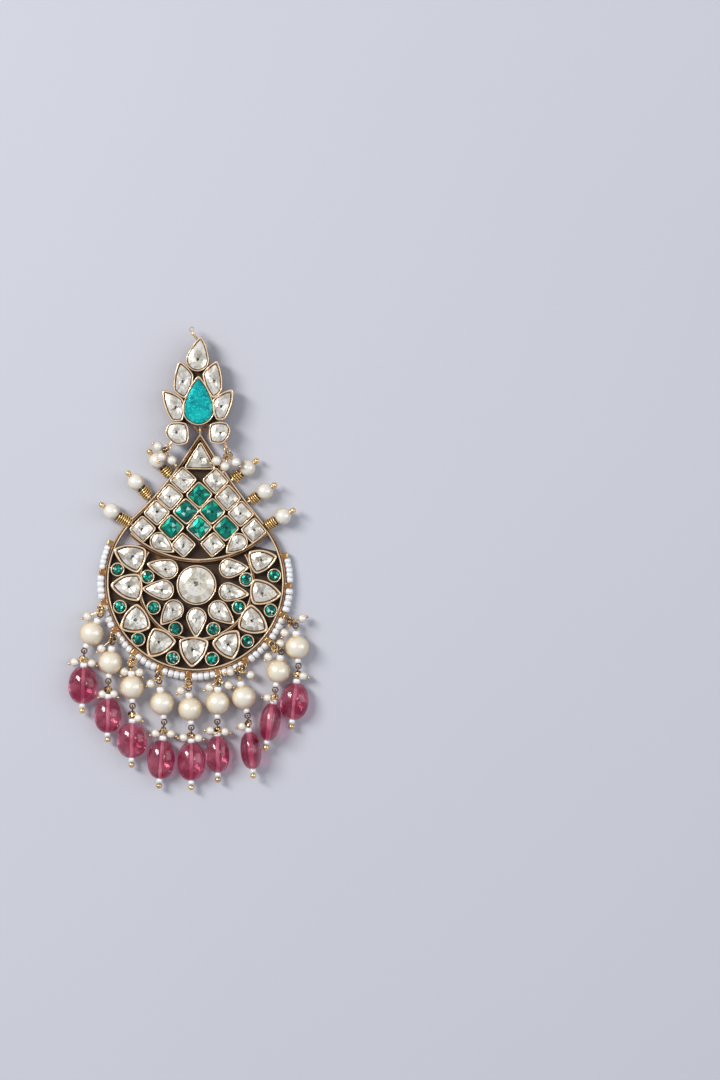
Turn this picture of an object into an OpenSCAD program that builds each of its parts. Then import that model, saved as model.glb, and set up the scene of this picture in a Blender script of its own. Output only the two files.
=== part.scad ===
// A long foiled-stone earring, lying face up: a petalled stud linked to a round drop with a
// pointed top, a border for seed beads, side sticks with pearls and nine pearl and bead drops.
// The origin is the centre of the big round stone, on the flat back of its setting.

/* [Lower frame] */
// Height of the bezel rims above the flat back
rim_h = 3; // [2.6:0.1:3.4]
// Height of the ring wires and side wires
wire_h = 2.6; // [2:0.1:3]
// Width of the ring wires and side wires
wire_w = 1; // [0.8:0.05:1.2]
// Thickness of the closed bezel floors and base strips
floor_h = 0.9; // [0.6:0.05:1.1]
// Thickness of a bezel wall
wall = 0.4; // [0.36:0.02:0.5]
// Radius of the outer ring, at the middle of its wire
outer_ring_r = 22.1; // [21.9:0.1:22.4]
// Radius of the inner ring, at the middle of its wire
inner_ring_r = 14.25; // [14:0.05:14.5]
// Radius of the seed bead wire around the outer ring
border_r = 23.4; // [23.2:0.1:23.6]

/* [Stud] */
// Height of the stud's flat back, which lies on the ear clip
stud_z = 3; // [2.8:0.1:3.6]
// Depth of the stud from back to rim
stud_h = 2.8; // [2.4:0.1:3.2]
// Bore radius of the loop for a support chain
chain_bore_r = 0.4; // [0.35:0.05:0.5]
// Thickness of the chain loop
chain_loop_h = 0.8; // [0.6:0.1:1]

/* [Stones] */
// Space between a stone and its bezel
gap = 0.12; // [0.1:0.01:0.16]
// Rise of a cut stone from its girdle to its table
crown_h = 1.1; // [0.7:0.1:1.4]
// Size of the table as a share of the stone
table_part = 0.52; // [0.4:0.02:0.65]

/* [Drops] */
// Radius of the nine large pearls
pearl_r = 3; // [2.7:0.1:3]
// Thickness of the flattened oval beads
bead_thick = 5.3; // [4.6:0.1:5.4]
// Radius of the pins, links and loops' wire
pin_r = 0.2; // [0.15:0.01:0.22]
// Radius of a pin's loop, at the middle of its wire
loop_r = 0.65; // [0.6:0.01:0.68]
// Radius of the small pearls in the clusters
small_r = 1.1; // [0.9:0.05:1.1]
// Radius of the small pearls under the stud
stud_small_r = 1.2; // [1:0.05:1.2]
// Radius of the pearls on the side sticks
side_pearl_r = 2.1; // [1.9:0.05:2.1]

/* [Hidden] */
FANS = [for (i = [1:9]) str("fan_stone_", i)];
PEARLS = [for (i = [1:9]) str("pearl_", i)];
BEADS = [for (i = [1:9]) str("oval_bead_", i)];
STUD = ["top_stone", "upper_left_stone", "upper_right_stone", "middle_left_stone",
        "middle_right_stone", "lower_left_stone", "lower_right_stone"];

gold = [0.72, 0.53, 0.34];
clear = [0.9, 0.89, 0.84];
green = [0, 0.45, 0.33];
teal = [0, 0.62, 0.62];
ivory = [0.92, 0.87, 0.74];
pink = [0.7, 0.2, 0.38];
$fn = 48;

// Centre of the outer ring and of the inner ring
ring_c = [-0.3, 0.75];
inner_c = [-0.1, 0.6];
// The outer ring runs from its upper left end around the bottom to its upper right end
outer_from = 135.5;
outer_to = 400.5;
inner_from = 147;
inner_to = 390;
// The low arc that closes the pointed top: its centre, radius and ends
arc_c = [0.5, 31.1];
arc_r = 25;
arc_from = 227;
arc_to = 313;
// The pointed top's side wires, from the ring's ends up to the tip
left_foot = ring_c + polar(outer_ring_r, outer_from);
left_neck = [-0.8, 34.7];
tip = [0.95, 37.1];
right_neck = [2.6, 34.6];
right_foot = ring_c + polar(outer_ring_r, outer_to);
side_path = concat(bow_arc(left_foot, left_neck, 0.037, 8), [left_neck], [tip],
                   bow_arc(right_neck, right_foot, 0.017, 8), [right_foot]);

// Fan settings between the rings: tip, then the two inner corners
fans = [[[-20.9, 9.0], [-14.7, 2.9], [-12.6, 9.1]],
        [[-21.7, 0.0], [-14.3, -4.1], [-14.3, 2.8]],
        [[-19.2, -11.0], [-11.4, -10.8], [-14.9, -4.5]],
        [[-12.0, -18.1], [-4.9, -14.1], [-10.8, -10.6]],
        [[-1.2, -20.7], [3.1, -13.9], [-4.4, -13.7]],
        [[9.3, -18.7], [10.5, -11.2], [3.7, -14.4]],
        [[17.9, -11.5], [13.6, -4.6], [10.3, -10.8]],
        [[21.5, -2.4], [14.2, 1.6], [14.1, -4.8]],
        [[20.3, 7.2], [13.0, 8.4], [14.8, 2.7]]];
fan_bow = 0.13;
square_bow = 0.02;
pear_bow = 0.05;
triangle_bow = 0.015;

// Square settings: x, y, half the diagonal, turn
clear_squares = [[-3.3, 26.2, 3.55, 3], [-6.6, 22.0, 3.55, 4], [-9.9, 18.1, 3.45, 3],
                 [-13.4, 14.0, 3.5, 2], [4.8, 26.0, 3.5, -2], [7.8, 21.8, 3.5, -3],
                 [11.1, 17.8, 3.5, -2], [14.3, 13.6, 3.4, -4], [-3.3, 10.0, 3.3, 3],
                 [4.1, 10.1, 3.3, -4]];
green_squares = [[0.7, 22.5, 3.5, 2], [-2.6, 18.4, 3.5, 3], [-6.3, 14.4, 3.45, 2],
                 [0.7, 14.3, 3.45, 3], [3.9, 18.4, 3.5, -2], [7.3, 14.2, 3.5, -1]];

// Pear settings: x and y of the round end, its radius, x and y of the tip
corner_pears = [[-9.3, 10.9, 2.4, -5.3, 8.1], [10.5, 10.7, 2.35, 7.2, 7.9]];
inner_pears = [[-7.1, 4.0, 2.6, -12.7, 5.4], [-8.2, -1.2, 2.65, -13.8, -0.9],
               [-5.7, -6.1, 2.6, -9.1, -10.1], [0.0, -8.1, 2.6, -0.1, -13.4],
               [5.4, -6.3, 2.6, 9.6, -9.8], [7.9, -1.7, 2.45, 13.5, -2.4],
               [8.1, 4.2, 2.55, 13.3, 4.3]];

// Round settings: x, y, radius
outer_rounds = [[-19.7, 3.9, 1.75], [-19.1, -5.4, 1.75], [-14.5, -13.5, 1.8],
                [-5.9, -18.2, 1.8], [3.9, -18.4, 1.8], [12.7, -14.0, 1.75],
                [18.5, -6.3, 1.75], [19.4, 2.4, 1.75]];
inner_rounds = [[-12.2, 2.1, 1.75], [-10.7, -5.6, 1.8], [-5.2, -10.9, 1.85],
                [4.2, -11.0, 1.8], [10.6, -5.5, 1.8], [12.4, 1.4, 1.8]];
centre_round = [0, 0, 5];
triangle = [[1.05, 36.0], [-3.3, 29.0], [5.0, 28.9]];

// Stud petals: corners and the bow of their sides
stud_petals = [[[[-4.2, 56.0], [-5.6, 48.5], [-2.7, 46.4], [-0.6, 52.2]], 0.07],
               [[[5.3, 56.0], [1.5, 52.6], [4.1, 46.5], [6.4, 48.4]], 0.07],
               [[[-8.5, 48.7], [-6.2, 41.0], [-3.4, 41.0], [-3.2, 46.3]], 0.08],
               [[[9.3, 48.9], [4.1, 46.2], [5.0, 41.2], [7.3, 41.4]], 0.08],
               [[[-6.7, 40.2], [-7.7, 37.8], [-5.4, 35.0], [-2.1, 35.4], [-2.4, 40.3]], 0.1],
               [[[3.6, 40.2], [3.5, 35.6], [6.7, 35.3], [8.6, 38.4], [7.6, 40.4]], 0.1]];
top_pear = [0.35, 56.1, 2.9, 1.3, 62.2];
teal_pear = [0.6, 43.9, 4.1, 0.55, 52.5];

// Thirteen square pegs hold the seed bead wire, and nine of them carry a drop
peg_from = 155.5;
peg_step = 18.4;
peg_last = 12;
first_drop = 2;
border_z = 1.5;
peg_size = [1.8, 1.2, 1.7];
peg_shift = [-0.2, 0, 0.15];

// The base plate behind the settings stops below the two open cheeks beside the low arc
base_h = floor_h - 0.2;
base_ring = [158, 380];
base_arc = [302, 237];

// Drops: pearl x, y and lean, oval bead x, y, width and height, bead set on edge, pin's neck
drops = [[-26.1, -12.1, 24, -28.3, -25.0, 7.4, 9.2, false, 2.2],
         [-21.5, -19.3, 6, -22.1, -32.5, 6.8, 8.6, false, 2.2],
         [-16.1, -25.5, -2, -16.1, -38.7, 7.6, 8.8, false, 2.6],
         [-8.6, -29.5, -7, -8.8, -43.5, 6.9, 9.7, false, 2.6],
         [-1.6, -30.9, -4, -1.3, -44.0, 7.0, 9.5, false, 2.2],
         [5.3, -29.4, 1, 5.3, -42.2, 6.0, 9.2, false, 1.7],
         [11.8, -28.0, -12, 13.6, -41.2, 7.2, 9.2, true, 3.2],
         [20.4, -21.5, 9, 18.4, -34.1, 7.2, 9.4, true, 1.9],
         [25.1, -15.5, -4, 24.4, -29.0, 7.2, 9.2, false, 2.4]];
peg_ring_off = 1.2;
peg_ring_z = 2.4;
low_reach = 1.65;
knot_off = 1.5;
knot_r = 0.4;
ball_r = 0.78;
ball_off = 1.75;
// The small pearls' wires and end balls
small_wire_r = 0.15;
small_end_r = 0.32;
// Small pearls hung on the links: drop number, x, y
upper_cluster = [[0, -27.2, -7.8], [1, -23.7, -15.8], [2, -18.0, -21.6], [2, -14.2, -21.8],
                 [3, -11.4, -24.6], [4, -3.9, -26.3], [5, 3.2, -25.5], [5, 8.0, -25.0],
                 [6, 8.5, -21.6], [6, 13.5, -22.4], [7, 17.9, -17.9], [7, 20.9, -14.6],
                 [8, 26.4, -8.3], [8, 22.0, -11.9]];
// Small pearls hung below the large pearls: drop number, x, y
lower_cluster = [[0, -30.4, -19.2], [0, -26.1, -19.5], [1, -23.4, -27.2], [1, -20.6, -27.2],
                 [2, -14.6, -33.2], [3, -10.2, -37.0], [3, -6.4, -37.1], [4, -3.2, -38.0],
                 [4, 0.5, -38.2], [5, 3.5, -36.3], [5, 7.1, -36.6], [6, 11.4, -35.2],
                 [7, 17.8, -28.1], [8, 26.6, -22.7]];

// Side sticks: foot x, y on the frame, end ball x, y and height
sticks = [[-6.4, 27.0, -11.7, 33.3, 2.5], [-11.5, 21.5, -17.0, 27.9, 3.5],
          [-16.3, 15.2, -23.6, 20.0, 3.5], [8.7, 26.1, 15.0, 31.0, 2.5],
          [13.0, 20.8, 19.5, 24.9, 3.5], [17.0, 14.5, 24.1, 18.6, 3.5]];
stick_foot_z = 1.7;
stick_r = 0.4;
stick_gap = 0.05;
coil_r = 1.45;
coil_groove = 0.3;
coil_from = 1.25;
coil_pitch = 0.55;

// Ring pegs under the stud's lower petals, and their small pearls
stud_pegs = [[-6.0, 35.6, -6.9, 34.5], [7.2, 35.6, 7.7, 33.6]];
stud_cluster = [[[-9.5, 34.5], [-8.6, 31.9], [-6.0, 31.1]],
                [[5.1, 31.0], [7.2, 29.6], [9.9, 30.6]]];
stud_cluster_z = 5.35;
stud_peg_r = 0.4;
stud_peg_reach = 0.6;
stud_link_r = 0.66;

// The hidden link between the tip and the stud's back
joint_ring_r = 1.6;
joint_loop_r = 0.9;
joint_wire_r = 0.3;
joint_z = 1.85;
tip_loop_y = 38.6;

// The loop for a support chain, beside the stud's tip, on a small ball
chain_at = [-1.15, 63.75];
chain_ball_at = [-0.75, 62.7];
chain_foot = [0.42, 60.95];
chain_z = stud_z + 0.9;
chain_ball_r = 0.62;
chain_rim = 0.3;

// Radial room of a pearl's or a coil's bore around its wire
bore_room = 0.15;
stick_room = 0.12;
// Wires end this far inside the ring or the knot that they meet
sink = 0.08;
knot_sink = 0.6 * knot_r;

// The plate behind the teal stone, cut off straight above the link
back_plate_h = 0.7;
back_plate_rim = 1.5;
back_plate_from_y = tip_loop_y + 1.6;

// The folded ear clip under the stud
clip_w = 5;
clip_pad_r = 3;
clip_leaf = 0.7;
clip_x = 0.4;
clip_from_y = 43.3;
clip_bend_y = 54.4;

function polar(r, a) = [r * cos(a), r * sin(a)];
function flat(v) = [v.x, v.y];
function unit(v) = v / norm(v);
function raised(p, z) = [p.x, p.y, z];

// Points from p to before q on a curve that bows to the right of the way by bow times its length
function bow_arc(p, q, bow, n) =
    [for (i = [0:n - 1]) let (t = i / n, d = q - p)
        p + t * d + 4 * bow * t * (1 - t) * [d.y, -d.x]];
function bowed(corners, bow, n) =
    [for (k = [0:len(corners) - 1])
        each bow_arc(corners[k], corners[(k + 1) % len(corners)], bow, n)];

// Moves each side of an anticlockwise outline outwards by d
function side_normal(p, q) = let (u = unit(q - p)) [u.y, -u.x];
function grown(c, d) =
    let (n = len(c))
    [for (i = [0:n - 1])
        let (a = side_normal(c[(i + n - 1) % n], c[i]), b = side_normal(c[i], c[(i + 1) % n]))
        c[i] + d * (a + b) / (1 + a * b)];
function middle(c, i = 0) = i == len(c) ? [0, 0] : c[i] / len(c) + middle(c, i + 1);

// Outlines of the settings, grown by d
function fan_line(c, d, n = 5) = bowed(grown(c, d), fan_bow, n);
function petal_line(s, d, n = 4) = bowed(grown(s[0], d), s[1], n);
function square_line(s, d, n = 2) =
    bowed([for (k = [0:3]) [s[0], s[1]] + polar(s[2] + d * sqrt(2), 90 * k + s[3])], square_bow, n);
function round_line(s, d, n = 12) =
    [for (k = [0:n - 1]) [s[0], s[1]] + polar(s[2] + d, 360 * k / n)];
function pear_line(s, d, n = 20, m = 4) =
    let (c = [s[0], s[1]], way = [s[3], s[4]] - c, size = (s[2] + d) / s[2],
         a = acos(s[2] / norm(way)), w = atan2(way.y, way.x), end = c + size * way,
         round = [for (k = [0:n]) c + polar(s[2] + d, w + a + k * (360 - 2 * a) / n)])
    concat(bow_arc(end, round[0], pear_bow, m), round,
           [for (k = [1:m - 1]) bow_arc(round[n], end, pear_bow, m)[k]]);

function peg_at(i) = ring_c + polar(border_r, peg_from + peg_step * i);
function lean(a) = [-sin(a), -cos(a)];
function pearl_at(d) = [d[0], d[1], pearl_r];
function bead_z(d) = d[7] ? d[5] / 2 : bead_thick / 2;
function bead_at(d) = [d[3], d[4], bead_z(d)];
function top_loop(d) = flat(pearl_at(d)) - lean(d[2]) * (pearl_r + d[8]);
function low_loop(d) = flat(pearl_at(d)) + lean(d[2]) * (pearl_r + low_reach);
function link_way(k) = unit(top_loop(drops[k]) - peg_at(k + first_drop));
function peg_ring(k) = peg_at(k + first_drop) + peg_ring_off * link_way(k);
function low_way(d) = unit(flat(bead_at(d)) - low_loop(d));
function knot(d) = low_loop(d) + (loop_r + knot_off) * low_way(d);
function way_angle(v) = atan2(v.y, v.x);

// The knot on top of each upper link, and each small pearl as its knot, centre and radius
function link_top(k) =
    let (a = raised(peg_ring(k), peg_ring_z), b = raised(top_loop(drops[k]), pearl_r))
    (a + b) / 2 + [0, 0, norm(b - a) / 2 + knot_r / 4];
function upper_small(row) =
    [link_top(row[0]), [row[1], row[2], pearl_r], small_r];
function lower_small(row) =
    let (d = drops[row[0]]) [raised(knot(d), bead_z(d)), [row[1], row[2], bead_z(d)], small_r];
function stud_small(k, j) =
    [raised(stud_hook(k), stud_cluster_z), raised(stud_cluster[k][j], stud_cluster_z),
     stud_small_r];
function stud_way(k) = unit([stud_pegs[k][2] - stud_pegs[k][0], stud_pegs[k][3] - stud_pegs[k][1]]);
function stud_ring(k) = [stud_pegs[k][2], stud_pegs[k][3]];
function stud_hook(k) = stud_ring(k) + 2 * stud_link_r * stud_way(k);

// Turns +Z towards b and moves the origin to a
module aim(a, b) {
    d = b - a;
    translate(a) rotate([0, acos(d.z / norm(d)), atan2(d.y, d.x)]) children();
}

module rod(a, b, r) {
    aim(a, b) cylinder(h = norm(b - a), r = r);
}

module drilled_ball(a, c, r, hole) {
    aim(c, 2 * c - a) difference() {
        sphere(r, $fn = r > stud_small_r ? 64 : 44);
        translate([0, 0, -2 * r]) cylinder(h = 4 * r, r = hole);
    }
}

// A ring of wire around axis +Z, then turned upright along the way w if upright
module wire_ring(c, r, wire, upright = false, way = 0) {
    translate(c) rotate(upright ? [90, 0, way] : [0, 0, 0])
        rotate_extrude() translate([r, 0]) circle(wire, $fn = 36);
}

module prism(line, z, h) {
    translate([0, 0, z]) linear_extrude(h) polygon(line);
}

// A strip of width w along an open path
function path_normal(p, i) =
    let (n = len(p), a = side_normal(p[max(i - 1, 0)], p[max(i, 1)]),
         b = side_normal(p[min(i, n - 2)], p[min(i + 1, n - 1)]))
    (a + b) / (1 + a * b);
function strip(p, w) =
    concat([for (i = [0:len(p) - 1]) p[i] + w / 2 * path_normal(p, i)],
           [for (i = [len(p) - 1:-1:0]) p[i] - w / 2 * path_normal(p, i)]);

// A round band with a narrowed top edge
module band(c, r, from, to, w, h, edge = 0.3) {
    translate([c.x, c.y, 0]) rotate([0, 0, from])
        rotate_extrude(angle = to - from, $fn = 120)
            polygon([[r - w / 2, 0], [r + w / 2, 0], [r + w / 2, h - edge], [r + w / 4, h],
                     [r - w / 4, h], [r - w / 2, h - edge]]);
}

module pegs() {
    for (i = [0:peg_last])
        translate(raised(peg_at(i), border_z)) rotate([0, 0, peg_from + peg_step * i])
            translate(peg_shift) cube(peg_size, center = true);
    translate([ring_c.x, ring_c.y, border_z]) rotate([0, 0, peg_from])
        rotate_extrude(angle = peg_step * peg_last, $fn = 120)
            translate([border_r, 0]) circle(pin_r, $fn = 24);
    for (k = [0:8]) wire_ring(raised(peg_ring(k), peg_ring_z), loop_r + 0.08, pin_r);
}

// The dark plate that closes the back: around the ring, over the low arc and up to the tip
module base_plate() {
    rim = [for (a = [base_ring[0]:6:base_ring[1]]) ring_c + polar(outer_ring_r, a)];
    right_arc = [for (k = [0:2]) arc_c + polar(arc_r, base_arc[0] + k * (arc_to - base_arc[0]) / 2)];
    left_arc = [for (k = [0:2]) arc_c + polar(arc_r, arc_from + k * (base_arc[1] - arc_from) / 2)];
    top = [for (i = [len(side_path) - 1:-1:0]) side_path[i]];
    prism(concat(rim, right_arc, top, left_arc), 0, base_h);
}

module settings(d, z, h) {
    for (c = fans) prism(fan_line(c, d), z, h);
    for (s = clear_squares) prism(square_line(s, d), z, h);
    for (s = green_squares) prism(square_line(s, d), z, h);
    for (s = corner_pears) prism(pear_line(s, d), z, h);
    for (s = inner_pears) prism(pear_line(s, d), z, h);
    for (s = concat(outer_rounds, inner_rounds, [centre_round]))
        translate([s[0], s[1], z]) cylinder(h = h, r = s[2] + d);
    prism(bowed(grown(triangle, d), triangle_bow, 3), z, h);
}

module body_frame() {
    color(gold) {
        difference() {
            union() {
                band(ring_c, outer_ring_r, outer_from, outer_to, wire_w, wire_h);
                band(inner_c, inner_ring_r, inner_from, inner_to, wire_w - 0.1, wire_h);
                band(arc_c, arc_r, arc_from, arc_to, wire_w, wire_h);
                prism(strip(side_path, wire_w), 0, wire_h);
                settings(0, 0, rim_h);
                base_plate();
            }
            settings(-wall, floor_h, rim_h);
        }
        pegs();
        wire_ring([tip.x, tip_loop_y, joint_z], joint_loop_r, joint_wire_r, true, 90);
        for (s = sticks) {
            rod(stick_foot(s) - stick_r * stick_way(s), stick_end(s), stick_r);
            translate(stick_end(s)) sphere(ball_r);
        }
    }
}

module stud_settings(d, z, h) {
    for (s = stud_petals) prism(petal_line(s, d), z, h);
    prism(pear_line(top_pear, d), z, h);
    prism(pear_line(teal_pear, d), z, h);
}

module chain_loop() {
    mid = chain_z + chain_loop_h / 2;
    difference() {
        union() {
            translate(raised(chain_at, chain_z))
                cylinder(h = chain_loop_h, r = chain_bore_r + chain_rim);
            translate(raised(chain_ball_at, mid)) sphere(chain_ball_r);
            rod(raised(chain_ball_at, mid), raised(chain_foot, mid), chain_rim + 0.08);
        }
        translate(raised(chain_at, chain_z - 1)) cylinder(h = chain_loop_h + 2, r = chain_bore_r);
    }
}

module stud_frame() {
    color(gold) {
        difference() {
            union() {
                stud_settings(0, stud_z, stud_h);
                chain_loop();
                intersection() {
                    prism(pear_line(teal_pear, back_plate_rim), stud_z, back_plate_h);
                    translate([-10, back_plate_from_y, stud_z]) cube(20);
                }
            }
            stud_settings(-wall, stud_z + 0.8, stud_h);
        }
        wire_ring([tip.x, tip_loop_y + 2 * joint_ring_r, joint_z + 0.25], joint_loop_r + 0.1,
                  joint_wire_r, true, 90);
        for (k = [0:1]) {
            p = stud_pegs[k];
            rod([p[0], p[1], stud_cluster_z],
                raised(stud_ring(k) - stud_peg_reach * stud_way(k), stud_cluster_z), stud_peg_r);
            wire_ring(raised(stud_ring(k), stud_cluster_z), loop_r, pin_r);
        }
    }
}

// The folded clip: a leaf under the stud, a round bend, a lower leaf and its ear pad
module ear_clip() {
    r = (stud_z - 0.1) / 2;
    bend = [for (a = [-90:15:90]) [clip_bend_y + r * cos(a), r + r * sin(a)]];
    inner = [for (a = [90:-15:-90])
        [clip_bend_y + (r - clip_leaf) * cos(a), r + (r - clip_leaf) * sin(a)]];
    side = concat([[clip_from_y, 0]], bend, [[clip_from_y + 2, 2 * r],
        [clip_from_y + 2, 2 * r - clip_leaf]], inner, [[clip_from_y, clip_leaf]]);
    color(gold) {
        translate([clip_x - clip_w / 2, 0, 0]) rotate([90, 0, 90]) linear_extrude(clip_w)
            polygon(side);
        translate([clip_x, clip_from_y + clip_pad_r, 0])
            cylinder(h = clip_leaf + 0.4, r = clip_pad_r);
    }
}

module link_ring() {
    color(gold) wire_ring([tip.x, tip_loop_y + joint_ring_r, joint_z], joint_ring_r,
                          joint_wire_r);
}

// A cut stone on the outline p: a straight girdle, a ring of facets and a flat table
module cut_stone(p, z, girdle, crown, table = table_part) {
    n = len(p);
    m = middle(p);
    q = [for (i = [0:n - 1]) m + table * ((p[i] + p[(i + 1) % n]) / 2 - m)];
    polyhedron(
        points = concat([for (v = p) raised(v, z)], [for (v = p) raised(v, z + girdle)],
                        [for (v = q) raised(v, z + girdle + crown)]),
        faces = concat(
            [[for (i = [0:n - 1]) i], [for (i = [n - 1:-1:0]) 2 * n + i]],
            [for (i = [0:n - 1]) let (j = (i + 1) % n) [i, n + i, n + j, j]],
            [for (i = [0:n - 1]) let (j = (i + 1) % n) [n + i, 2 * n + i, n + j]],
            [for (i = [0:n - 1]) let (j = (i + 1) % n) [2 * n + i, 2 * n + j, n + j]]));
}

module low_stone(p, tone, crown = crown_h, table = table_part) {
    color(tone) cut_stone(p, floor_h + 0.1, rim_h - floor_h - 0.5, crown, table);
}

module stud_stone(p, tone, crown = crown_h, table = table_part) {
    color(tone) cut_stone(p, stud_z + 0.9, stud_h - 1.3, crown, table);
}

inset = -wall - gap;

// A flattened oval bead along +Z, drilled through
module oval_bead(w, t, h, hole = 0.36, sides = 16, rings = 10, blunt = 0.9) {
    ring = function (k) let (s = pow(sin(180 * k / rings), blunt))
        [for (i = [0:sides - 1]) let (a = 360 * i / sides)
            [(hole + (w / 2 - hole) * s) * cos(a), (hole + (t / 2 - hole) * s) * sin(a),
             -h / 2 * cos(180 * k / rings)]];
    rows = rings + 1;
    polyhedron(
        points = [for (k = [0:rings]) each ring(k)],
        faces = [for (k = [0:rows - 1], i = [0:sides - 1])
            let (j = (i + 1) % sides, up = (k + 1) % rows)
            [k * sides + i, up * sides + i, up * sides + j, k * sides + j]]);
}

module big_pearl(d) {
    c = pearl_at(d);
    color(ivory) drilled_ball(c - raised(lean(d[2]), 0), c, pearl_r, pin_r + bore_room);
}

module hung_bead(d) {
    c = bead_at(d);
    color(pink) aim(c, c + raised(low_way(d), 0))
        rotate([0, 0, d[7] ? 0 : 90]) oval_bead(d[5], bead_thick, d[6]);
}

module upper_pins() {
    color(gold) for (d = drops) {
        a = raised(top_loop(d), pearl_r);
        b = raised(low_loop(d), pearl_r);
        u = unit(b - a);
        wire_ring(a, loop_r, pin_r);
        wire_ring(b, loop_r, pin_r);
        rod(a + u * (loop_r - sink), b - u * (loop_r - sink), pin_r - 0.04);
    }
}

module drop_links() {
    color(gold) for (k = [0:8]) {
        a = raised(peg_ring(k), peg_ring_z);
        b = raised(top_loop(drops[k]), pearl_r);
        wire_ring((a + b) / 2, norm(b - a) / 2, pin_r, true, way_angle(b - a));
        translate(link_top(k)) sphere(knot_r);
        for (row = upper_cluster) if (row[0] == k) small_wire(upper_small(row));
    }
}

// A small pearl's wire from its knot, with a ball at its end
module small_wire(s) {
    u = unit(s[1] - s[0]);
    rod(s[0] + knot_sink * u, s[1] + u * (s[2] + small_wire_r), small_wire_r);
    translate(s[1] + u * (s[2] + small_end_r)) sphere(small_end_r, $fn = 36);
}

module lower_pins() {
    color(gold) for (k = [0:8]) {
        d = drops[k];
        u = raised(low_way(d), 0);
        c = raised(low_loop(d), pearl_r) + loop_r * u;
        bead = bead_at(d);
        mid = raised(knot(d), bead.z);
        end = bead + u * (d[6] / 2 + ball_off);
        wire_ring(c, loop_r, pin_r, true, way_angle(u));
        rod(c + u * (loop_r - sink), mid - knot_sink * u, pin_r - 0.04);
        translate(mid) sphere(knot_r);
        rod(mid + knot_sink * u, end, pin_r - 0.02);
        translate(end) sphere(ball_r);
        for (row = lower_cluster) if (row[0] == k) small_wire(lower_small(row));
    }
}

module cluster_pearls() {
    color("white") {
        for (row = upper_cluster) small_pearl(upper_small(row));
        for (row = lower_cluster) small_pearl(lower_small(row));
        for (k = [0:1], j = [0:2]) small_pearl(stud_small(k, j));
    }
}

module small_pearl(s) {
    drilled_ball(s[0], s[1], s[2], small_wire_r + 0.11);
}

module stud_links() {
    color(gold) for (k = [0:1]) {
        wire_ring(raised(stud_ring(k) + stud_link_r * stud_way(k), stud_cluster_z), stud_link_r,
                  pin_r, true, way_angle(stud_way(k)));
        translate(raised(stud_hook(k), stud_cluster_z)) sphere(knot_r);
        for (j = [0:2]) small_wire(stud_small(k, j));
    }
}

function stick_foot(s) = [s[0], s[1], stick_foot_z];
function stick_end(s) = [s[2], s[3], s[4]];
function stick_way(s) = unit(stick_end(s) - stick_foot(s));
function stick_pearl(s) = stick_end(s) - stick_way(s) * (side_pearl_r + ball_r + stick_gap);

module side_pearls() {
    color("white") for (s = sticks)
        drilled_ball(stick_foot(s), stick_pearl(s), side_pearl_r, stick_r + stick_room);
}

// The wire wound on each stick: one grooved sleeve with a groove between turns
module side_coils() {
    color(gold) for (s = sticks) {
        room = norm(stick_pearl(s) - stick_foot(s)) - side_pearl_r;
        bore = stick_r + stick_room;
        groove_r = coil_r - coil_groove;
        turns = floor((room - coil_from) / coil_pitch);
        low = room - turns * coil_pitch - stick_room;
        aim(stick_foot(s), stick_end(s)) translate([0, 0, low]) rotate_extrude()
            polygon(concat([[bore, 0]], [for (k = [0:turns - 1])
                each [[groove_r, k * coil_pitch], [coil_r, (k + 0.3) * coil_pitch],
                      [coil_r, (k + 0.7) * coil_pitch]]],
                [[groove_r, turns * coil_pitch], [bore, turns * coil_pitch]]));
    }
}

stud_frame();
body_frame();
ear_clip();
link_ring();
stud_stone(pear_line(teal_pear, inset, 14), teal, 0.9, 0.78);  // teal_stone
stud_stone(pear_line(top_pear, inset, 12), clear);  // top_stone
for (k = [1:6]) stud_stone(petal_line(stud_petals[k - 1], inset, 3), clear);
low_stone(bowed(grown(triangle, inset), triangle_bow, 3), clear);  // triangle_stone
low_stone(round_line(centre_round, inset, 18), clear, 1.3, 0.45);  // centre_stone
for (k = [0:8]) low_stone(fan_line(fans[k], inset, 4), clear);
for (s = clear_squares) low_stone(square_line(s, inset), clear);
for (s = green_squares) low_stone(square_line(s, inset), green);
for (s = corner_pears) low_stone(pear_line(s, inset, 11), clear);
for (s = inner_pears) low_stone(pear_line(s, inset, 11), clear);
for (s = outer_rounds) low_stone(round_line(s, inset), green);
for (s = inner_rounds) low_stone(round_line(s, inset), green);
for (k = [0:8]) big_pearl(drops[k]);
for (k = [0:8]) hung_bead(drops[k]);
upper_pins();
drop_links();
lower_pins();
cluster_pearls();
side_pearls();
side_coils();
stud_links();
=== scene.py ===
# The looks of a long foiled-stone earring that lies face up: gold settings, foiled stones,
# pearls, pink beads, seed beads and wire work, all in millimetres until a mesh is made.
import math

import bmesh
import bpy
import numpy as np
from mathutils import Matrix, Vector


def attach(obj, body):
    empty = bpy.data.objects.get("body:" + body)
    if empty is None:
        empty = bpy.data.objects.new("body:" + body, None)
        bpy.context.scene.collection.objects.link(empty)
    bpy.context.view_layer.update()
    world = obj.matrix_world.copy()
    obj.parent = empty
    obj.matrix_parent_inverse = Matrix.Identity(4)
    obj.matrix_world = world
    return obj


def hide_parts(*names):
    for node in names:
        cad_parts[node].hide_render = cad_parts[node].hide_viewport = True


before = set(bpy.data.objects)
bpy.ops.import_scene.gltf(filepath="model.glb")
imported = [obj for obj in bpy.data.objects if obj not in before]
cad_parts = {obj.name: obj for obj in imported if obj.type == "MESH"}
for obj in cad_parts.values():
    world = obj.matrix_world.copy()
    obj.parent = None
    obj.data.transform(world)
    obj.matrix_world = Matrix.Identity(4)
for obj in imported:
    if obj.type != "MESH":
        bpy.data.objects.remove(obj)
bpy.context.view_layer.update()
print("frame loaded:", len(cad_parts), "nodes")

mm = 0.001
luck = np.random.default_rng(11)


# lines and directions, as whole arrays

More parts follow.
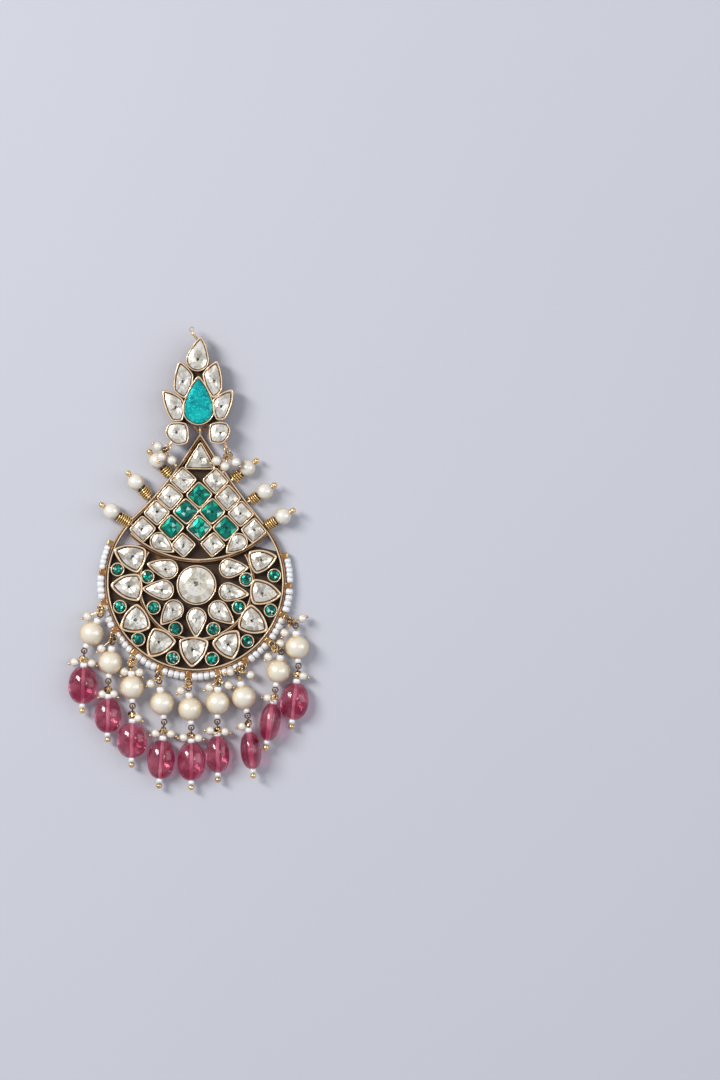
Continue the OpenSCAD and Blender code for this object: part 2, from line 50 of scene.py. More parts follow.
def angles(n):
    # n equal steps of a full turn
    return 2 * np.pi * np.arange(n) / n


def unitOf(v):
    # v divided by its length
    v = np.asarray(v, float)
    return v / np.linalg.norm(v, axis=-1, keepdims=True)


def polar(r, degrees):
    # r times (cos a, sin a)
    a = np.radians(degrees)
    return np.stack([r * np.cos(a), r * np.sin(a)], -1)


def raised(line, z):
    # the points of a flat line, each at height z
    line = np.asarray(line, float)
    return np.concatenate([line[..., :2], np.zeros(line.shape[:-1] + (1,)) + z], -1)


def turned(v):
    # v turned a quarter to the right
    return np.stack([v[..., 1], -v[..., 0]], -1)


def bowArc(p, q, bow, n):
    # p + t (q - p) + 4 bow t (1 - t) times the side of (q - p), for n values of t from 0 to 1
    p, q = np.asarray(p, float), np.asarray(q, float)
    t = (np.arange(n) / n)[:, None]
    return p + t * (q - p) + 4 * bow * t * (1 - t) * turned(q - p)


def bowed(corners, bow, n):
    # each side of the outline as a bowed arc of n points
    return np.concatenate([bowArc(corners[k - 1], corners[k], bow, n)
                           for k in range(len(corners))])


def grown(corners, d):
    # each corner moved so that both its sides lie d further out
    c = np.asarray(corners, float)
    a = turned(unitOf(c - np.roll(c, 1, 0)))
    b = turned(unitOf(np.roll(c, -1, 0) - c))
    return c + d * (a + b) / (1 + (a * b).sum(1, keepdims=True))


def softened(line, times):
    # every point replaced by a quarter of each neighbour and a half of itself, a few times
    for _ in range(times):
        line = (np.roll(line, 1, 0) + 2 * line + np.roll(line, -1, 0)) / 4
    return line


def sideAxes(way):
    # two unit directions at right angles to the way and to each other
    way = unitOf(way)
    other = np.array([0, 0, 1.0]) if abs(way[2]) < 0.9 else np.array([1.0, 0, 0])
    a = unitOf(np.cross(other, way))
    return a, np.cross(way, a)


# outlines of settings: s is a row of a table below, d how far the line is grown outwards, n the
# number of points on a side or a round; bows are shares of a side's length

bows = {"fan": 0.13, "square": 0.02, "pear": 0.05, "triangle": 0.015}


def fanLine(s, d, n):
    # three corners grown by d, with bowed sides
    return bowed(grown(s, d), bows["fan"], n)


def triangleLine(s, d, n):
    # three corners grown by d, with nearly straight sides
    return bowed(grown(s, d), bows["triangle"], n)


def petalLine(s, d, n):
    # corners grown by d, with sides of the petal's own bow
    return bowed(grown(s[0], d), s[1], n)


def squareLine(s, d, n):
    # four corners about the centre, which go out by d times root 2
    corners = np.array(s[:2]) + polar(s[2] + d * math.sqrt(2), 90 * np.arange(4) + s[3])
    return bowed(corners, bows["square"], n)


def roundLine(s, d, n):
    # a circle about the centre, its radius larger by d
    return np.array(s[:2]) + polar(s[2] + d, 360 * np.arange(n) / n)


def pearLine(s, d, n):
    # a round of n steps about the centre, closed by two bowed sides that meet in the tip
    c, way = np.array(s[:2]), np.array(s[3:5]) - np.array(s[:2])
    size = (s[2] + d) / s[2]
    a = math.degrees(math.acos(s[2] / np.linalg.norm(way)))
    w = math.degrees(math.atan2(way[1], way[0]))
    m = max(2, n // 4)
    end = c + size * way
    around = c + polar(s[2] + d, w + a + np.arange(n + 1) * (360 - 2 * a) / n)
    return np.concatenate([bowArc(end, around[0], bows["pear"], m), around,
                           bowArc(around[-1], end, bows["pear"], m)[1:]])


# meshes from grids

class Heap:
    # gathers grids of points into one mesh, each point with a tone: 0 dark, 1 worn bright; on the
    # gold the ends of that scale also paint shade and a highlight, and on pearls the tone is the
    # height that paints their sides darker
    def __init__(self):
        self.points, self.tones, self.faces, self.count = [], [], [], 0

    def add(self, points, faces, tone):
        # tone is one for all points or one for each
        points = points.reshape(-1, 3)
        self.points.append(points)
        self.tones.append(np.zeros(len(points)) + tone.ravel())
        self.faces += (np.asarray(faces) + self.count).tolist()
        self.count += len(points)

    def grid(self, p, tone, closed=False):
        # p[i, j] is step i along the piece and step j around it; open ends get a cap
        n, m = p.shape[:2]
        k = np.arange(n * m).reshape(n, m)
        rows = np.concatenate([k, k[:1]]) if closed else k
        nextRows = np.roll(rows, -1, 1)
        quads = np.stack([rows[:-1], nextRows[:-1], nextRows[1:], rows[1:]], -1).reshape(-1, 4)
        tone = np.broadcast_to(tone, (n, m))
        first = self.count
        self.add(p, quads, tone)
        if not closed:
            for i in (0, -1):
                edge = k[i] + first - self.count
                fan = np.stack([edge, np.roll(edge, -1), np.zeros(m, int)], -1)
                self.add(p[i].mean(0), fan, tone[i].mean())

    def piece(self, name, material, slot, nodes=()):
        # a mesh with its faces outwards, a tone at each point and edges over 40 degrees sharp
        mesh = bpy.data.meshes.new(name)
        mesh.from_pydata((np.concatenate(self.points) * mm).tolist(), [], self.faces)
        build = bmesh.new()
        build.from_mesh(mesh)
        bmesh.ops.recalc_face_normals(build, faces=build.faces)
        build.to_mesh(mesh)
        build.free()
        layer = mesh.attributes.new("tone", "FLOAT", "POINT")
        layer.data.foreach_set("value", np.concatenate(self.tones).astype(np.float32))
        mesh.polygons.foreach_set("use_smooth", np.ones(len(mesh.polygons), bool))
        mesh.set_sharp_from_angle(angle=math.radians(40))
        place(mesh, name, material, nodes)


def linked(name, data):
    # a new object of the scene
    made = bpy.data.objects.new(name, data)
    bpy.context.scene.collection.objects.link(made)
    return made


def place(mesh, name, material, nodes):
    # the mesh as a piece on the only body
    piece = linked(name, mesh)
    mesh.materials.append(material)
    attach(piece, "root")
    if nodes:
        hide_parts(*nodes)
    print("  piece", name, len(mesh.polygons), "faces")


def tube(heap, path, radius, sides, up=(0, 0, 1), tone=0.8, closed=False):
    # a circle carried along the path, at right angles to it
    if closed:
        t = unitOf(np.roll(path, -1, 0) - np.roll(path, 1, 0))
    else:
        t = unitOf(np.gradient(path, axis=0))
    a = unitOf(np.cross(t, up))
    b = np.cross(a, t)
    turn = angles(sides)[:, None]
    circle = np.cos(turn) * a[:, None] + np.sin(turn) * b[:, None]
    heap.grid(path[:, None] + radius * circle, tone, closed)


def rod(heap, p, q, radius, sides=12, tone=0.8):
    # a straight tube from p to q
    path = np.array([p, q], float)
    tube(heap, path, radius, sides, sideAxes(path[1] - path[0])[1], tone)


def ring(heap, centre, radius, wire, axis=(0, 0, 1), steps=36, sides=10, tone=0.8):
    # a circle of wire: radius times (cos, sin) across the axis
    a, b = sideAxes(axis)
    turn = angles(steps)[:, None]
    path = centre + radius * (np.cos(turn) * a + np.sin(turn) * b)
    tube(heap, path, wire, sides, unitOf(axis), tone, closed=True)


def coil(heap, start, axis, radius, wire, turns, pitch, perTurn, sides, uneven=0.0):
    # a helix: radius times (cos, sin) across the axis, rising by pitch for each turn; the wire's
    # outer side is worn bright and its inner side and flanks are painted dark, as the shade
    # between the turns
    axis = unitOf(axis)
    a, b = sideAxes(axis)
    turn = np.linspace(0, turns, max(4, int(turns * perTurn)) + 1)[:, None]
    wide = radius * (1 + uneven * np.sin(3.7 * turn + luck.uniform(0, 6)))
    path = (start + axis * pitch * turn
            + wide * (np.cos(2 * np.pi * turn) * a + np.sin(2 * np.pi * turn) * b))
    # painted shade: the tone falls from the outer side of the wire to its inner side
    tube(heap, path, wire, sides, axis, np.clip(0.35 + np.cos(angles(sides)), 0, 1.3)[None])


def knot(heap, centre, size, loops):
    # the end of a wound wire: rings of thin wire about chance axes, around a small dark ball that
    # is painted shade inside the tangle
    ball(heap, centre, size * 0.6, tone=0.1)
    for _ in range(loops):
        axis = unitOf(luck.normal(size=3) * (1, 1, 0.6))
        middle = centre + luck.uniform(-0.5, 0.5, 3) * size
        radius = size * luck.uniform(0.7, 1.25)
        ring(heap, middle, radius, winding["wire"], axis, 18, 6, luck.uniform(0.05, 1.45))


def turnedForm(heap, centre, axis, r, h, sides, tone, flat=1.0, closed=True, lump=0.0):
    # radius r at height h along the axis, turned round it; flat squeezes it across and lump
    # makes it uneven; a tone that is a word rises with z from 0 to 1
    axis = unitOf(axis)
    a, b = sideAxes(axis)
    turn = angles(sides)
    uneven = 1 + lump * np.sin(2 * turn[None] + 5 * h[:, None] / (np.ptp(h) + 1e-6))
    across = np.cos(turn)[None, :, None] * a + flat * np.sin(turn)[None, :, None] * b
    p = centre + h[:, None, None] * axis + (r[:, None] * uneven)[..., None] * across
    if isinstance(tone, str):
        tone = (p[..., 2] - p[..., 2].min()) / np.ptp(p[..., 2])
    heap.grid(p, tone, closed)


def ball(heap, centre, radius, axis=(0, 0, 1), rings=12, sides=18, tone=0.9, drill=0.0):
    # radius times sin t at height -radius times cos t, with a straight bore if drilled
    low = math.asin(drill / radius) if drill else math.pi / (2 * rings)
    t = np.linspace(low, math.pi - low, rings)
    turnedForm(heap, centre, axis, radius * np.sin(t), -radius * np.cos(t), sides, tone,
               closed=bool(drill))


def block(heap, centre, size, turn, tone):
    # a rounded block: each of x, y, z is its half size times a sine or cosine to a low power
    power, sides, rings, tip = 0.3, 28, 16, 0.02

    def eased(v):
        return np.sign(v) * np.abs(v) ** power

    t = np.linspace(tip - math.pi / 2, math.pi / 2 - tip, rings)[:, None]
    f = angles(sides)[None]
    x = size[0] / 2 * eased(np.cos(t)) * eased(np.cos(f))
    y = size[1] / 2 * eased(np.cos(t)) * eased(np.sin(f))
    z = size[2] / 2 * eased(np.sin(t)) * np.ones_like(f)
    c, s = math.cos(math.radians(turn)), math.sin(math.radians(turn))
    heap.grid(centre + np.stack([c * x - s * y, s * x + c * y, z], -1), tone)


# shader expressions

class Wire:
    # a socket on which + - * add Math nodes: see the loop below it
    def __init__(self, tree, socket):
        self.tree, self.socket = tree, socket

    def maths(self, operation, a, b):
        return self.tree.node("ShaderNodeMath", {"operation": operation}, {0: a, 1: b})

    def step(self, edge, soft, under, over):
        # from under to over, eased between edge - soft and edge + soft
        return self.tree.node("ShaderNodeMapRange", {"interpolation_type": "SMOOTHSTEP"},
                              {0: self, 1: edge - soft, 2: edge + soft, 3: under, 4: over})

    def below(self, edge, soft):
        return self.step(edge, soft, 1.0, 0.0)

    def above(self, edge, soft):
        return self.step(edge, soft, 0.0, 1.0)


for name, operation in (("add", "ADD"), ("sub", "SUBTRACT"), ("mul", "MULTIPLY")):
    setattr(Wire, f"__{name}__", lambda a, b, kind=operation: a.maths(kind, a, b))
    setattr(Wire, f"__r{name}__", lambda a, b, kind=operation: a.maths(kind, b, a))


class Tree:
    # a material's node tree, with one method for every node
    def __init__(self, name):
        self.material = bpy.data.materials.new(name)
        self.material.use_nodes = True
        self.links = self.material.node_tree.links
        self.nodes = self.material.node_tree.nodes
        self.shader = self.nodes["Principled BSDF"]
        self.objectPlace = self.node("ShaderNodeTexCoord", {}, {}, "Object")

    def node(self, kind, settings, sockets, output=0):
        made = self.nodes.new(kind)
        for key, value in settings.items():
            setattr(made, key, value)
        for key, value in sockets.items():
            self.put(made.inputs[key], value)
        return Wire(self, made.outputs[output])

    def put(self, socket, value):
        # links a wire or sets a constant, where a colour gets an alpha of 1
        if isinstance(value, Wire):
            self.links.new(value.socket, socket)
        elif isinstance(value, tuple) and len(value) == 3 and socket.type == "RGBA":
            socket.default_value = (*value, 1)
        else:
            socket.default_value = value

    def fill(self, shader, sockets):
        # sockets by name, with _ for a space
        for name, value in sockets.items():
            self.put(shader.inputs[name.replace("_", " ")], value)

    def noise(self, scale, detail, rough=0.5):
        # scale is in waves for each metre
        return self.node("ShaderNodeTexNoise", {}, {"Vector": self.objectPlace, "Scale": scale,
                         "Detail": detail, "Roughness": rough}, "Fac")

    def mix(self, share, a, b):
        # colour a, or b by the share
        return self.node("ShaderNodeMix", {"data_type": "RGBA"}, {0: share, 6: a, 7: b}, 2)

    def kept(self, name, output="Fac"):
        # a number or a vector that the mesh keeps
        return self.node("ShaderNodeAttribute", {"attribute_name": name}, {}, output)

    def bump(self, height, distance, strength=1.0, normal=None):
        # the normal tilted by the slope of height times distance
        sockets = {"Height": height, "Distance": distance, "Strength": strength}
        if normal:
            sockets["Normal"] = normal
        return self.node("ShaderNodeBump", {}, sockets, "Normal")

    def frosted(self, share, **sockets):
        # mixes a second plain shader in, by the share
        plain = self.nodes.new("ShaderNodeBsdfPrincipled")
        self.fill(plain, sockets)
        main, second = Wire(self, self.shader.outputs[0]), Wire(self, plain.outputs[0])
        both = self.node("ShaderNodeMixShader", {}, {0: share, 1: main, 2: second})
        self.put(self.nodes["Material Output"].inputs[0], both)

    def finish(self, **sockets):
        self.fill(self.shader, sockets)
        return self.material


rimLook = {"bright": (1.0, 0.84, 0.60), "worn": (0.52, 0.23, 0.07), "dark": (0.06, 0.034, 0.02),
           "roughBright": 0.2, "roughDark": 0.6, "metal": 0.4, "patchy": 0.9}
wireLook = {"bright": (1.0, 0.72, 0.38), "worn": (0.56, 0.27, 0.09), "dark": (0.035, 0.018, 0.01),
            "roughBright": 0.2, "roughDark": 0.5, "metal": 0.78, "patchy": 0.7}
coilLook = {**wireLook, "bright": (1.0, 0.66, 0.26), "worn": (0.62, 0.25, 0.06), "patchy": 0.6}
linkLook = {**wireLook, "worn": (0.24, 0.15, 0.09)}


def antiqueGold(name, look, even=None):
    # dark where the tone is low, worn to pale gold where it is high, broken up by noise; the dark
    # is partly patina and partly painted shade, and the pale gold is partly wear and partly a
    # painted highlight; even is the tone of a piece that has none of its own
    tree = Tree(name)
    grain = tree.noise(900, 4)
    patch = tree.noise(260, 3)
    tone = tree.kept("tone") if even is None else even
    tone = tone + (patch - 0.5) * look["patchy"] + (grain - 0.5) * 0.3
    # painted shade and patina below the metal mask, painted highlight and wear above shine
    metal = tone.above(0.3, 0.2)
    shine = tone.above(0.78, 0.24)
    colour = tree.mix(shine, tree.mix(metal, look["dark"], look["worn"]), look["bright"])
    rough = look["roughDark"] + (look["roughBright"] - look["roughDark"]) * metal
    return tree.finish(Base_Color=colour, Metallic=look["metal"],
                       Roughness=rough + (grain - 0.5) * 0.2,
                       Normal=tree.bump(patch + 0.5 * grain, 0.00006))


# foil: its colour, in clouds, in facets painted bright and white as reflections (glow, flash) and
# in the dark culet spot (pit), where grey also paints shade on dull facets; how far it is metal;
# its gloss; how far facets differ; pale veins in the middle
foilLook = {"clear": (0.97, 0.91, 0.79), "grey": (0.52, 0.48, 0.39), "glow": (1.0, 0.98, 0.9),
            "flash": (1.0, 1.0, 1.0), "pit": (0.02, 0.017, 0.015), "metal": 0.45, "gloss": 0.5,
            "facets": 1.0, "veins": 0.0}


def foiled(name, **changes):
    # foil under glass: each facet reflects by its own foil normal, with clouds, flecks and a dark
    # pit at the culet, and with reflections and shade painted on chance facets
    tree = Tree(name)
    look = {**foilLook, **changes}
    strong, grey, glow = look["facets"], look["grey"], look["glow"]
    facet = tree.kept("glint")
    far = tree.node("ShaderNodeVectorMath", {"operation": "LENGTH"},
                    {0: tree.kept("spot", "Vector")}, "Value")
    cloud = tree.noise(520, 3)
    fine = tree.noise(2400, 3, 0.6)
    colour = tree.mix(cloud.above(0.54, 0.1), look["clear"], grey)
    # painted reflection: high glints take the glow colour and the highest take the white flash;
    # painted shade: low glints take grey
    colour = tree.mix(facet.above(0.7, 0.08) * 0.85 * strong, colour, glow)
    colour = tree.mix(facet.above(0.88, 0.02) * 0.8 * strong, colour, look["flash"])
    colour = tree.mix(facet.below(0.25, 0.05) * 0.6 * strong, colour, grey)
    if look["veins"]:
        colour = tree.mix(far.above(1.2, 0.6) * 0.8, colour, grey)
        veins = tree.noise(1900, 6, 0.75).above(0.56, 0.05) * far.below(1.3, 0.7)
        colour = tree.mix(veins * look["veins"], colour, glow)
    flecks = fine.above(0.58, 0.03) * far.below(0.5, 0.3) * 0.7
    pit = (flecks + far.below(0.14, 0.06) * fine.above(0.38, 0.1)) * strong
    colour = tree.mix(pit, colour, look["pit"])
    normal = tree.bump(cloud, 0.0001, 0.6, tree.kept("foil", "Vector"))
    return tree.finish(Base_Color=colour, Metallic=look["metal"], Roughness=0.16 + 0.2 * cloud,
                       Normal=normal, Coat_Weight=0.7, Coat_Roughness=0.03,
                       Specular_IOR_Level=look["gloss"])


def pearly(name, light, warm, edge, blur):
    # pale on top, warm in drifts, and darker and warmer towards the side by the height in tone,
    # which is painted shade, under a soft clear coat
    tree = Tree(name)
    drift = tree.noise(160, 2)
    pits = tree.noise(1500, 2)
    colour = tree.mix(drift.above(0.5, 0.25), light, warm)
    # painted shade: the edge colour where the height is low, on the sides
    colour = tree.mix(tree.kept("tone").below(0.78, 0.2) * 0.9, colour, edge)
    return tree.finish(Base_Color=colour, Metallic=0.1, Roughness=0.3 + 0.1 * pits,
                       Coat_Weight=1.0, Coat_Roughness=blur, Coat_IOR=2.0,
                       Normal=tree.bump(pits, 0.00002))


pinkLook = {"deep": (0.52, 0.038, 0.13), "pale": (0.96, 0.33, 0.47), "vein": (1.0, 0.66, 0.72),
            "bore": (1.0, 0.88, 0.84)}


def pinkStone(name):
    # clouded see-through pink with paler veins; the bore, where the tone is 0, is frosted
    tree = Tree(name)
    cloud = tree.noise(240, 4, 0.55)
    vein = tree.noise(420, 5, 0.65).above(0.62, 0.05)
    colour = tree.mix(cloud.above(0.5, 0.12), pinkLook["deep"], pinkLook["pale"])
    colour = tree.mix(vein * 0.75, colour, pinkLook["vein"])
    tree.frosted(1 - tree.kept("tone"), Base_Color=pinkLook["bore"], Roughness=0.6)
    return tree.finish(Base_Color=colour, Roughness=0.04 + 0.05 * cloud,
                       Transmission_Weight=0.85, IOR=1.4, Subsurface_Weight=0.6,
                       Subsurface_Scale=0.002, Coat_Weight=0.5, Coat_Roughness=0.02,
                       Normal=tree.bump(cloud, 0.00008))


gold = antiqueGold("antiqueGold", rimLook)
plainGold = antiqueGold("plainGold", rimLook, 0.5)
wireGold = antiqueGold("wireGold", wireLook)
coilGold = antiqueGold("coilGold", coilLook)
linkGold = antiqueGold("linkGold", linkLook)
clearFoil = foiled("clearFoil")
centreFoil = foiled("centreFoil", clear=(0.96, 0.90, 0.75), grey=(0.62, 0.57, 0.44),
                    glow=(1.0, 0.97, 0.88), metal=0.4, facets=0.8)
petalFoil = foiled("petalFoil", clear=(1.0, 0.95, 0.84), grey=(0.62, 0.57, 0.47), metal=0.42)
greenFoil = foiled("greenFoil", clear=(0.0, 0.26, 0.18), grey=(0.0, 0.10, 0.09),
                   glow=(0.0, 0.68, 0.40), flash=(0.62, 0.88, 0.86), pit=(0.0, 0.03, 0.03),
                   metal=0.4, gloss=0.15)
roundFoil = foiled("roundFoil", clear=(0.0, 0.19, 0.14), grey=(0.0, 0.04, 0.045),
                   glow=(0.0, 0.70, 0.46), flash=(0.75, 0.95, 0.93), pit=(0.0, 0.02, 0.02),
                   metal=0.4, gloss=0.15)
tealFoil = foiled("tealFoil", clear=(0.0, 0.42, 0.43), grey=(0.0, 0.25, 0.28),
                  glow=(0.02, 1.0, 0.86), flash=(0.2, 1.0, 0.92), pit=(0.0, 0.25, 0.27),
                  metal=0.2, gloss=0.1, facets=0.2, veins=0.75)
ivoryPearl = pearly("ivoryPearl", (0.99, 0.93, 0.79), (0.97, 0.87, 0.66), (0.76, 0.52, 0.22), 0.22)
whitePearl = pearly("whitePearl", (0.97, 0.94, 0.86), (0.95, 0.90, 0.78), (0.72, 0.55, 0.35), 0.12)
seedWhite = pearly("seedWhite", (0.97, 0.97, 0.97), (0.93, 0.93, 0.94), (0.93, 0.93, 0.94), 0.12)
pinkBead = pinkStone("pinkBead")
print("materials made")

# the round drop: rings, settings and their stones

# rings and arc: centre, radius, first and last degrees, and share of the wire's width
drop = {"ring": ((-0.3, 0.75), 22.1, 135.5, 400.5, 1.0),
        "inner": ((-0.1, 0.6), 14.25, 147, 390, 0.9), "arc": ((0.5, 31.1), 25.0, 227, 313, 1.0),
        "leftNeck": (-0.8, 34.7), "tip": (0.95, 37.1), "rightNeck": (2.6, 34.6),
        "wireWidth": 1.0, "wireHeight": 2.6, "rim": 3.0, "wall": 0.4, "floor": 0.9, "gap": 0.12}

# the outer tip and the two inner corners
fans = [[(-20.9, 9.0), (-14.7, 2.9), (-12.6, 9.1)], [(-21.7, 0.0), (-14.3, -4.1), (-14.3, 2.8)],
        [(-19.2, -11.0), (-11.4, -10.8), (-14.9, -4.5)],
        [(-12.0, -18.1), (-4.9, -14.1), (-10.8, -10.6)],
        [(-1.2, -20.7), (3.1, -13.9), (-4.4, -13.7)], [(9.3, -18.7), (10.5, -11.2), (3.7, -14.4)],
        [(17.9, -11.5), (13.6, -4.6), (10.3, -10.8)], [(21.5, -2.4), (14.2, 1.6), (14.1, -4.8)],
        [(20.3, 7.2), (13.0, 8.4), (14.8, 2.7)]]
# x, y, half the diagonal, turn
clearSquares = [
    (-3.3, 26.2, 3.55, 3), (-6.6, 22.0, 3.55, 4), (-9.9, 18.1, 3.45, 3),
    (-13.4, 14.0, 3.5, 2), (4.8, 26.0, 3.5, -2), (7.8, 21.8, 3.5, -3),
    (11.1, 17.8, 3.5, -2), (14.3, 13.6, 3.4, -4), (-3.3, 10.0, 3.3, 3),
    (4.1, 10.1, 3.3, -4)]
greenSquares = [
    (0.7, 22.5, 3.5, 2), (-2.6, 18.4, 3.5, 3), (-6.3, 14.4, 3.45, 2),
    (0.7, 14.3, 3.45, 3), (3.9, 18.4, 3.5, -2), (7.3, 14.2, 3.5, -1)]
# x and y of the round end, its radius, x and y of the tip
cornerPears = [(-9.3, 10.9, 2.4, -5.3, 8.1), (10.5, 10.7, 2.35, 7.2, 7.9)]
innerPears = [
    (-7.1, 4.0, 2.6, -12.7, 5.4), (-8.2, -1.2, 2.65, -13.8, -0.9),
    (-5.7, -6.1, 2.6, -9.1, -10.1), (0.0, -8.1, 2.6, -0.1, -13.4),
    (5.4, -6.3, 2.6, 9.6, -9.8), (7.9, -1.7, 2.45, 13.5, -2.4),
    (8.1, 4.2, 2.55, 13.3, 4.3)]
# x, y, radius
outerRounds = [
    (-19.7, 3.9, 1.75), (-19.1, -5.4, 1.75), (-14.5, -13.5, 1.8), (-5.9, -18.2, 1.8),
    (3.9, -18.4, 1.8), (12.7, -14.0, 1.75), (18.5, -6.3, 1.75), (19.4, 2.4, 1.75)]
innerRounds = [
    (-12.2, 2.1, 1.75), (-10.7, -5.6, 1.8), (-5.2, -10.9, 1.85), (4.2, -11.0, 1.8),
    (10.6, -5.5, 1.8), (12.4, 1.4, 1.8)]
centreRound = (0.0, 0.0, 5.0)
triangle = [(1.05, 36.0), (-3.3, 29.0), (5.0, 28.9)]


def arcAt(part, degrees):
    # the places on a ring or an arc: its centre plus its radius times (cos, sin)
    return np.array(drop[part][0]) + polar(drop[part][1], degrees)


ringC = np.array(drop["ring"][0])
leftFoot, rightFoot = arcAt("ring", drop["ring"][2]), arcAt("ring", drop["ring"][3])
# left and right wires of the pointed top, from the ring up to the tip and down again
sidePath = np.concatenate([bowArc(leftFoot, drop["leftNeck"], 0.037, 30),
                           bowArc(drop["leftNeck"], drop["tip"], 0, 6),
                           bowArc(drop["tip"], drop["rightNeck"], 0, 6),
                           bowArc(drop["rightNeck"], rightFoot, 0.017, 30), rightFoot[None]])

# a rim's section: how far out, how far below the top, and its tone: worn pale gold on the crest
# pushed up into a painted highlight, and dark patina with painted shade on the walls, in the
# groove and on the floor; a groove parts its two lines, and what is less than rimDeep down is
# uneven
cupForm = {"out": (0.0, 0.0, 0.01, 0.0, -0.03, -0.09, -0.16, -0.22, -0.27, -0.31, -0.36, -0.4,
                   -0.42),
           "down": (None, 1.9, 0.8, 0.35, 0.12, 0.03, 0.0, 0.02, 0.08, 0.11, 0.1, 0.25, None),
           "tone": (0.36, 0.36, 0.32, 0.25, 0.6, 1.1, 1.3, 1.15, 0.6, 0.35, 0.7, 0.3, 0.0),
           "rimDeep": 0.6, "wave": 0.05, "ripple": 0.03, "swell": 0.035}


def cup(heap, outline, low, floor, top):
    # rows from the back's edge up the wall, over a rounded rim and down to the floor; the rim
    # is a little uneven on its way round, as a hand-bent strip is
    first = outline(0.0)
    turn = angles(len(first))
    phase = luck.uniform(0, 6, 3)
    lift = (cupForm["wave"] * np.sin(3 * turn + phase[0])
            + cupForm["ripple"] * np.sin(7 * turn + phase[1]) - cupForm["wave"])
    swell = cupForm["swell"] * np.sin(5 * turn + phase[2])
    rows = []
    for out, down in zip(cupForm["out"], cupForm["down"]):
        z = low if not rows else floor if down is None else top - down
        line = raised(outline(out), z)
        if down is not None and down < cupForm["rimDeep"]:
            line[:, 2] += lift
            line[:, :2] += (swell * out / drop["wall"])[:, None] * unitOf(first - first.mean(0))
        rows.append(line)
    heap.grid(np.stack(rows), np.array(cupForm["tone"])[:, None])


# a strip's section: how far across in shares of its width, how far below the top, and its tone: a
# highlight painted on one crest and a weaker one on the other, with painted shade in the middle
# groove and down the flanks
stripForm = {"across": (-0.5, -0.5, -0.46, -0.37, -0.25, -0.13, 0, 0.13, 0.25, 0.37, 0.46, 0.5,
                        0.5),
             "down": (None, 0.6, 0.24, 0.06, 0, 0.07, 0.2, 0.07, 0, 0.06, 0.24, 0.6, None),
             "tone": (0.3, 0.15, 0.1, 1.1, 1.5, 1.2, 0.2, 0.0, 0.35, 0.8, 0.3, 0.1, 0.3),
             "wave": 0.04, "ripple": 0.03}


def ribbon(heap, path, width, low, height):
    # a rounded upright strip carried along a flat path, mitred at its bends
    step = unitOf(np.diff(path, axis=0))
    a = turned(np.concatenate([step[:1], step]))
    b = turned(np.concatenate([step, step[-1:]]))
    side = (a + b) / (1 + (a * b).sum(1, keepdims=True))
    x = np.array(stripForm["across"]) * width
    z = np.array([0 if down is None else height - down for down in stripForm["down"]])
    along = np.concatenate([[0], np.cumsum(np.linalg.norm(np.diff(path, axis=0), axis=1))])
    lift = (stripForm["wave"] * np.sin(along * 1.3 + luck.uniform(0, 6))
            + stripForm["ripple"] * np.sin(along * 3.1))
    p = path[:, None] + x[None, :, None] * side[:, None]
    z = low + z[None] + lift[:, None] * (z[None] > height / 2)
    p = np.concatenate([p, np.broadcast_to(z, p.shape[:2])[..., None]], -1)
    heap.grid(p, np.array(stripForm["tone"])[None])


# the plates that close the back, dark on top: on the round drop that dark is painted shade where
# the openwork would show a shadowed floor; inset keeps the undersides of settings and strips
# inside them
base = {"high": 0.7, "inset": 0.02, "under": 0.5, "over": 0.0, "ring": (158, 380),
        "arc": (302, 237)}


def plate(heap, outline, low, high):
    # a flat plate between two heights
    build = bmesh.new()
    corners = [build.verts.new((x, y, low)) for x, y in outline.tolist()]
    edges = [build.edges.new((corners[i - 1], corners[i])) for i in range(len(corners))]
    bmesh.ops.triangle_fill(build, edges=edges, use_beauty=True)
    for part in bmesh.ops.extrude_face_region(build, geom=build.faces[:])["geom"]:
        if isinstance(part, bmesh.types.BMVert):
            part.co.z = high
    bmesh.ops.triangulate(build, faces=build.faces[:])
    build.verts.index_update()
    points = np.array([v.co[:] for v in build.verts])
    # the top face takes the dark tone: painted shade
    heap.add(points, [[v.index for v in f.verts] for f in build.faces],
             np.where(points[:, 2] > low, base["over"], base["under"]))
    build.free()


def softLine(shape, setting, n, times):
    # the setting's outline as a function of how far it is grown, with its corners softened
    return lambda d: softened(shape(setting, d, n), times)


# outline, settings, points and softening
lowSettings = [(fanLine, fans, 14, 1), (squareLine, clearSquares + greenSquares, 9, 1),
               (pearLine, cornerPears + innerPears, 32, 1),
               (roundLine, outerRounds + innerRounds, 30, 0),
               (roundLine, [centreRound], 64, 0), (triangleLine, [triangle], 12, 1)]

body = Heap()
for shape, rows, n, times in lowSettings:
    for s in rows:
        cup(body, softLine(shape, s, n, times), base["inset"], drop["floor"], drop["rim"])
for part in ("ring", "inner", "arc"):
    start, end, share = drop[part][2:]
    ribbon(body, arcAt(part, np.linspace(start, end, 150)), drop["wireWidth"] * share,
           base["inset"], drop["wireHeight"])
ribbon(body, sidePath, drop["wireWidth"], base["inset"], drop["wireHeight"])
plate(body, np.concatenate([arcAt("ring", np.linspace(*base["ring"], 75)),
                            arcAt("arc", np.linspace(base["arc"][0], drop["arc"][3], 5)),
                            sidePath[::-1],
                            arcAt("arc", np.linspace(drop["arc"][2], base["arc"][1], 5))]),
      0.0, base["high"])
print("settings of the round drop made")

# pegs, border wire and peg rings

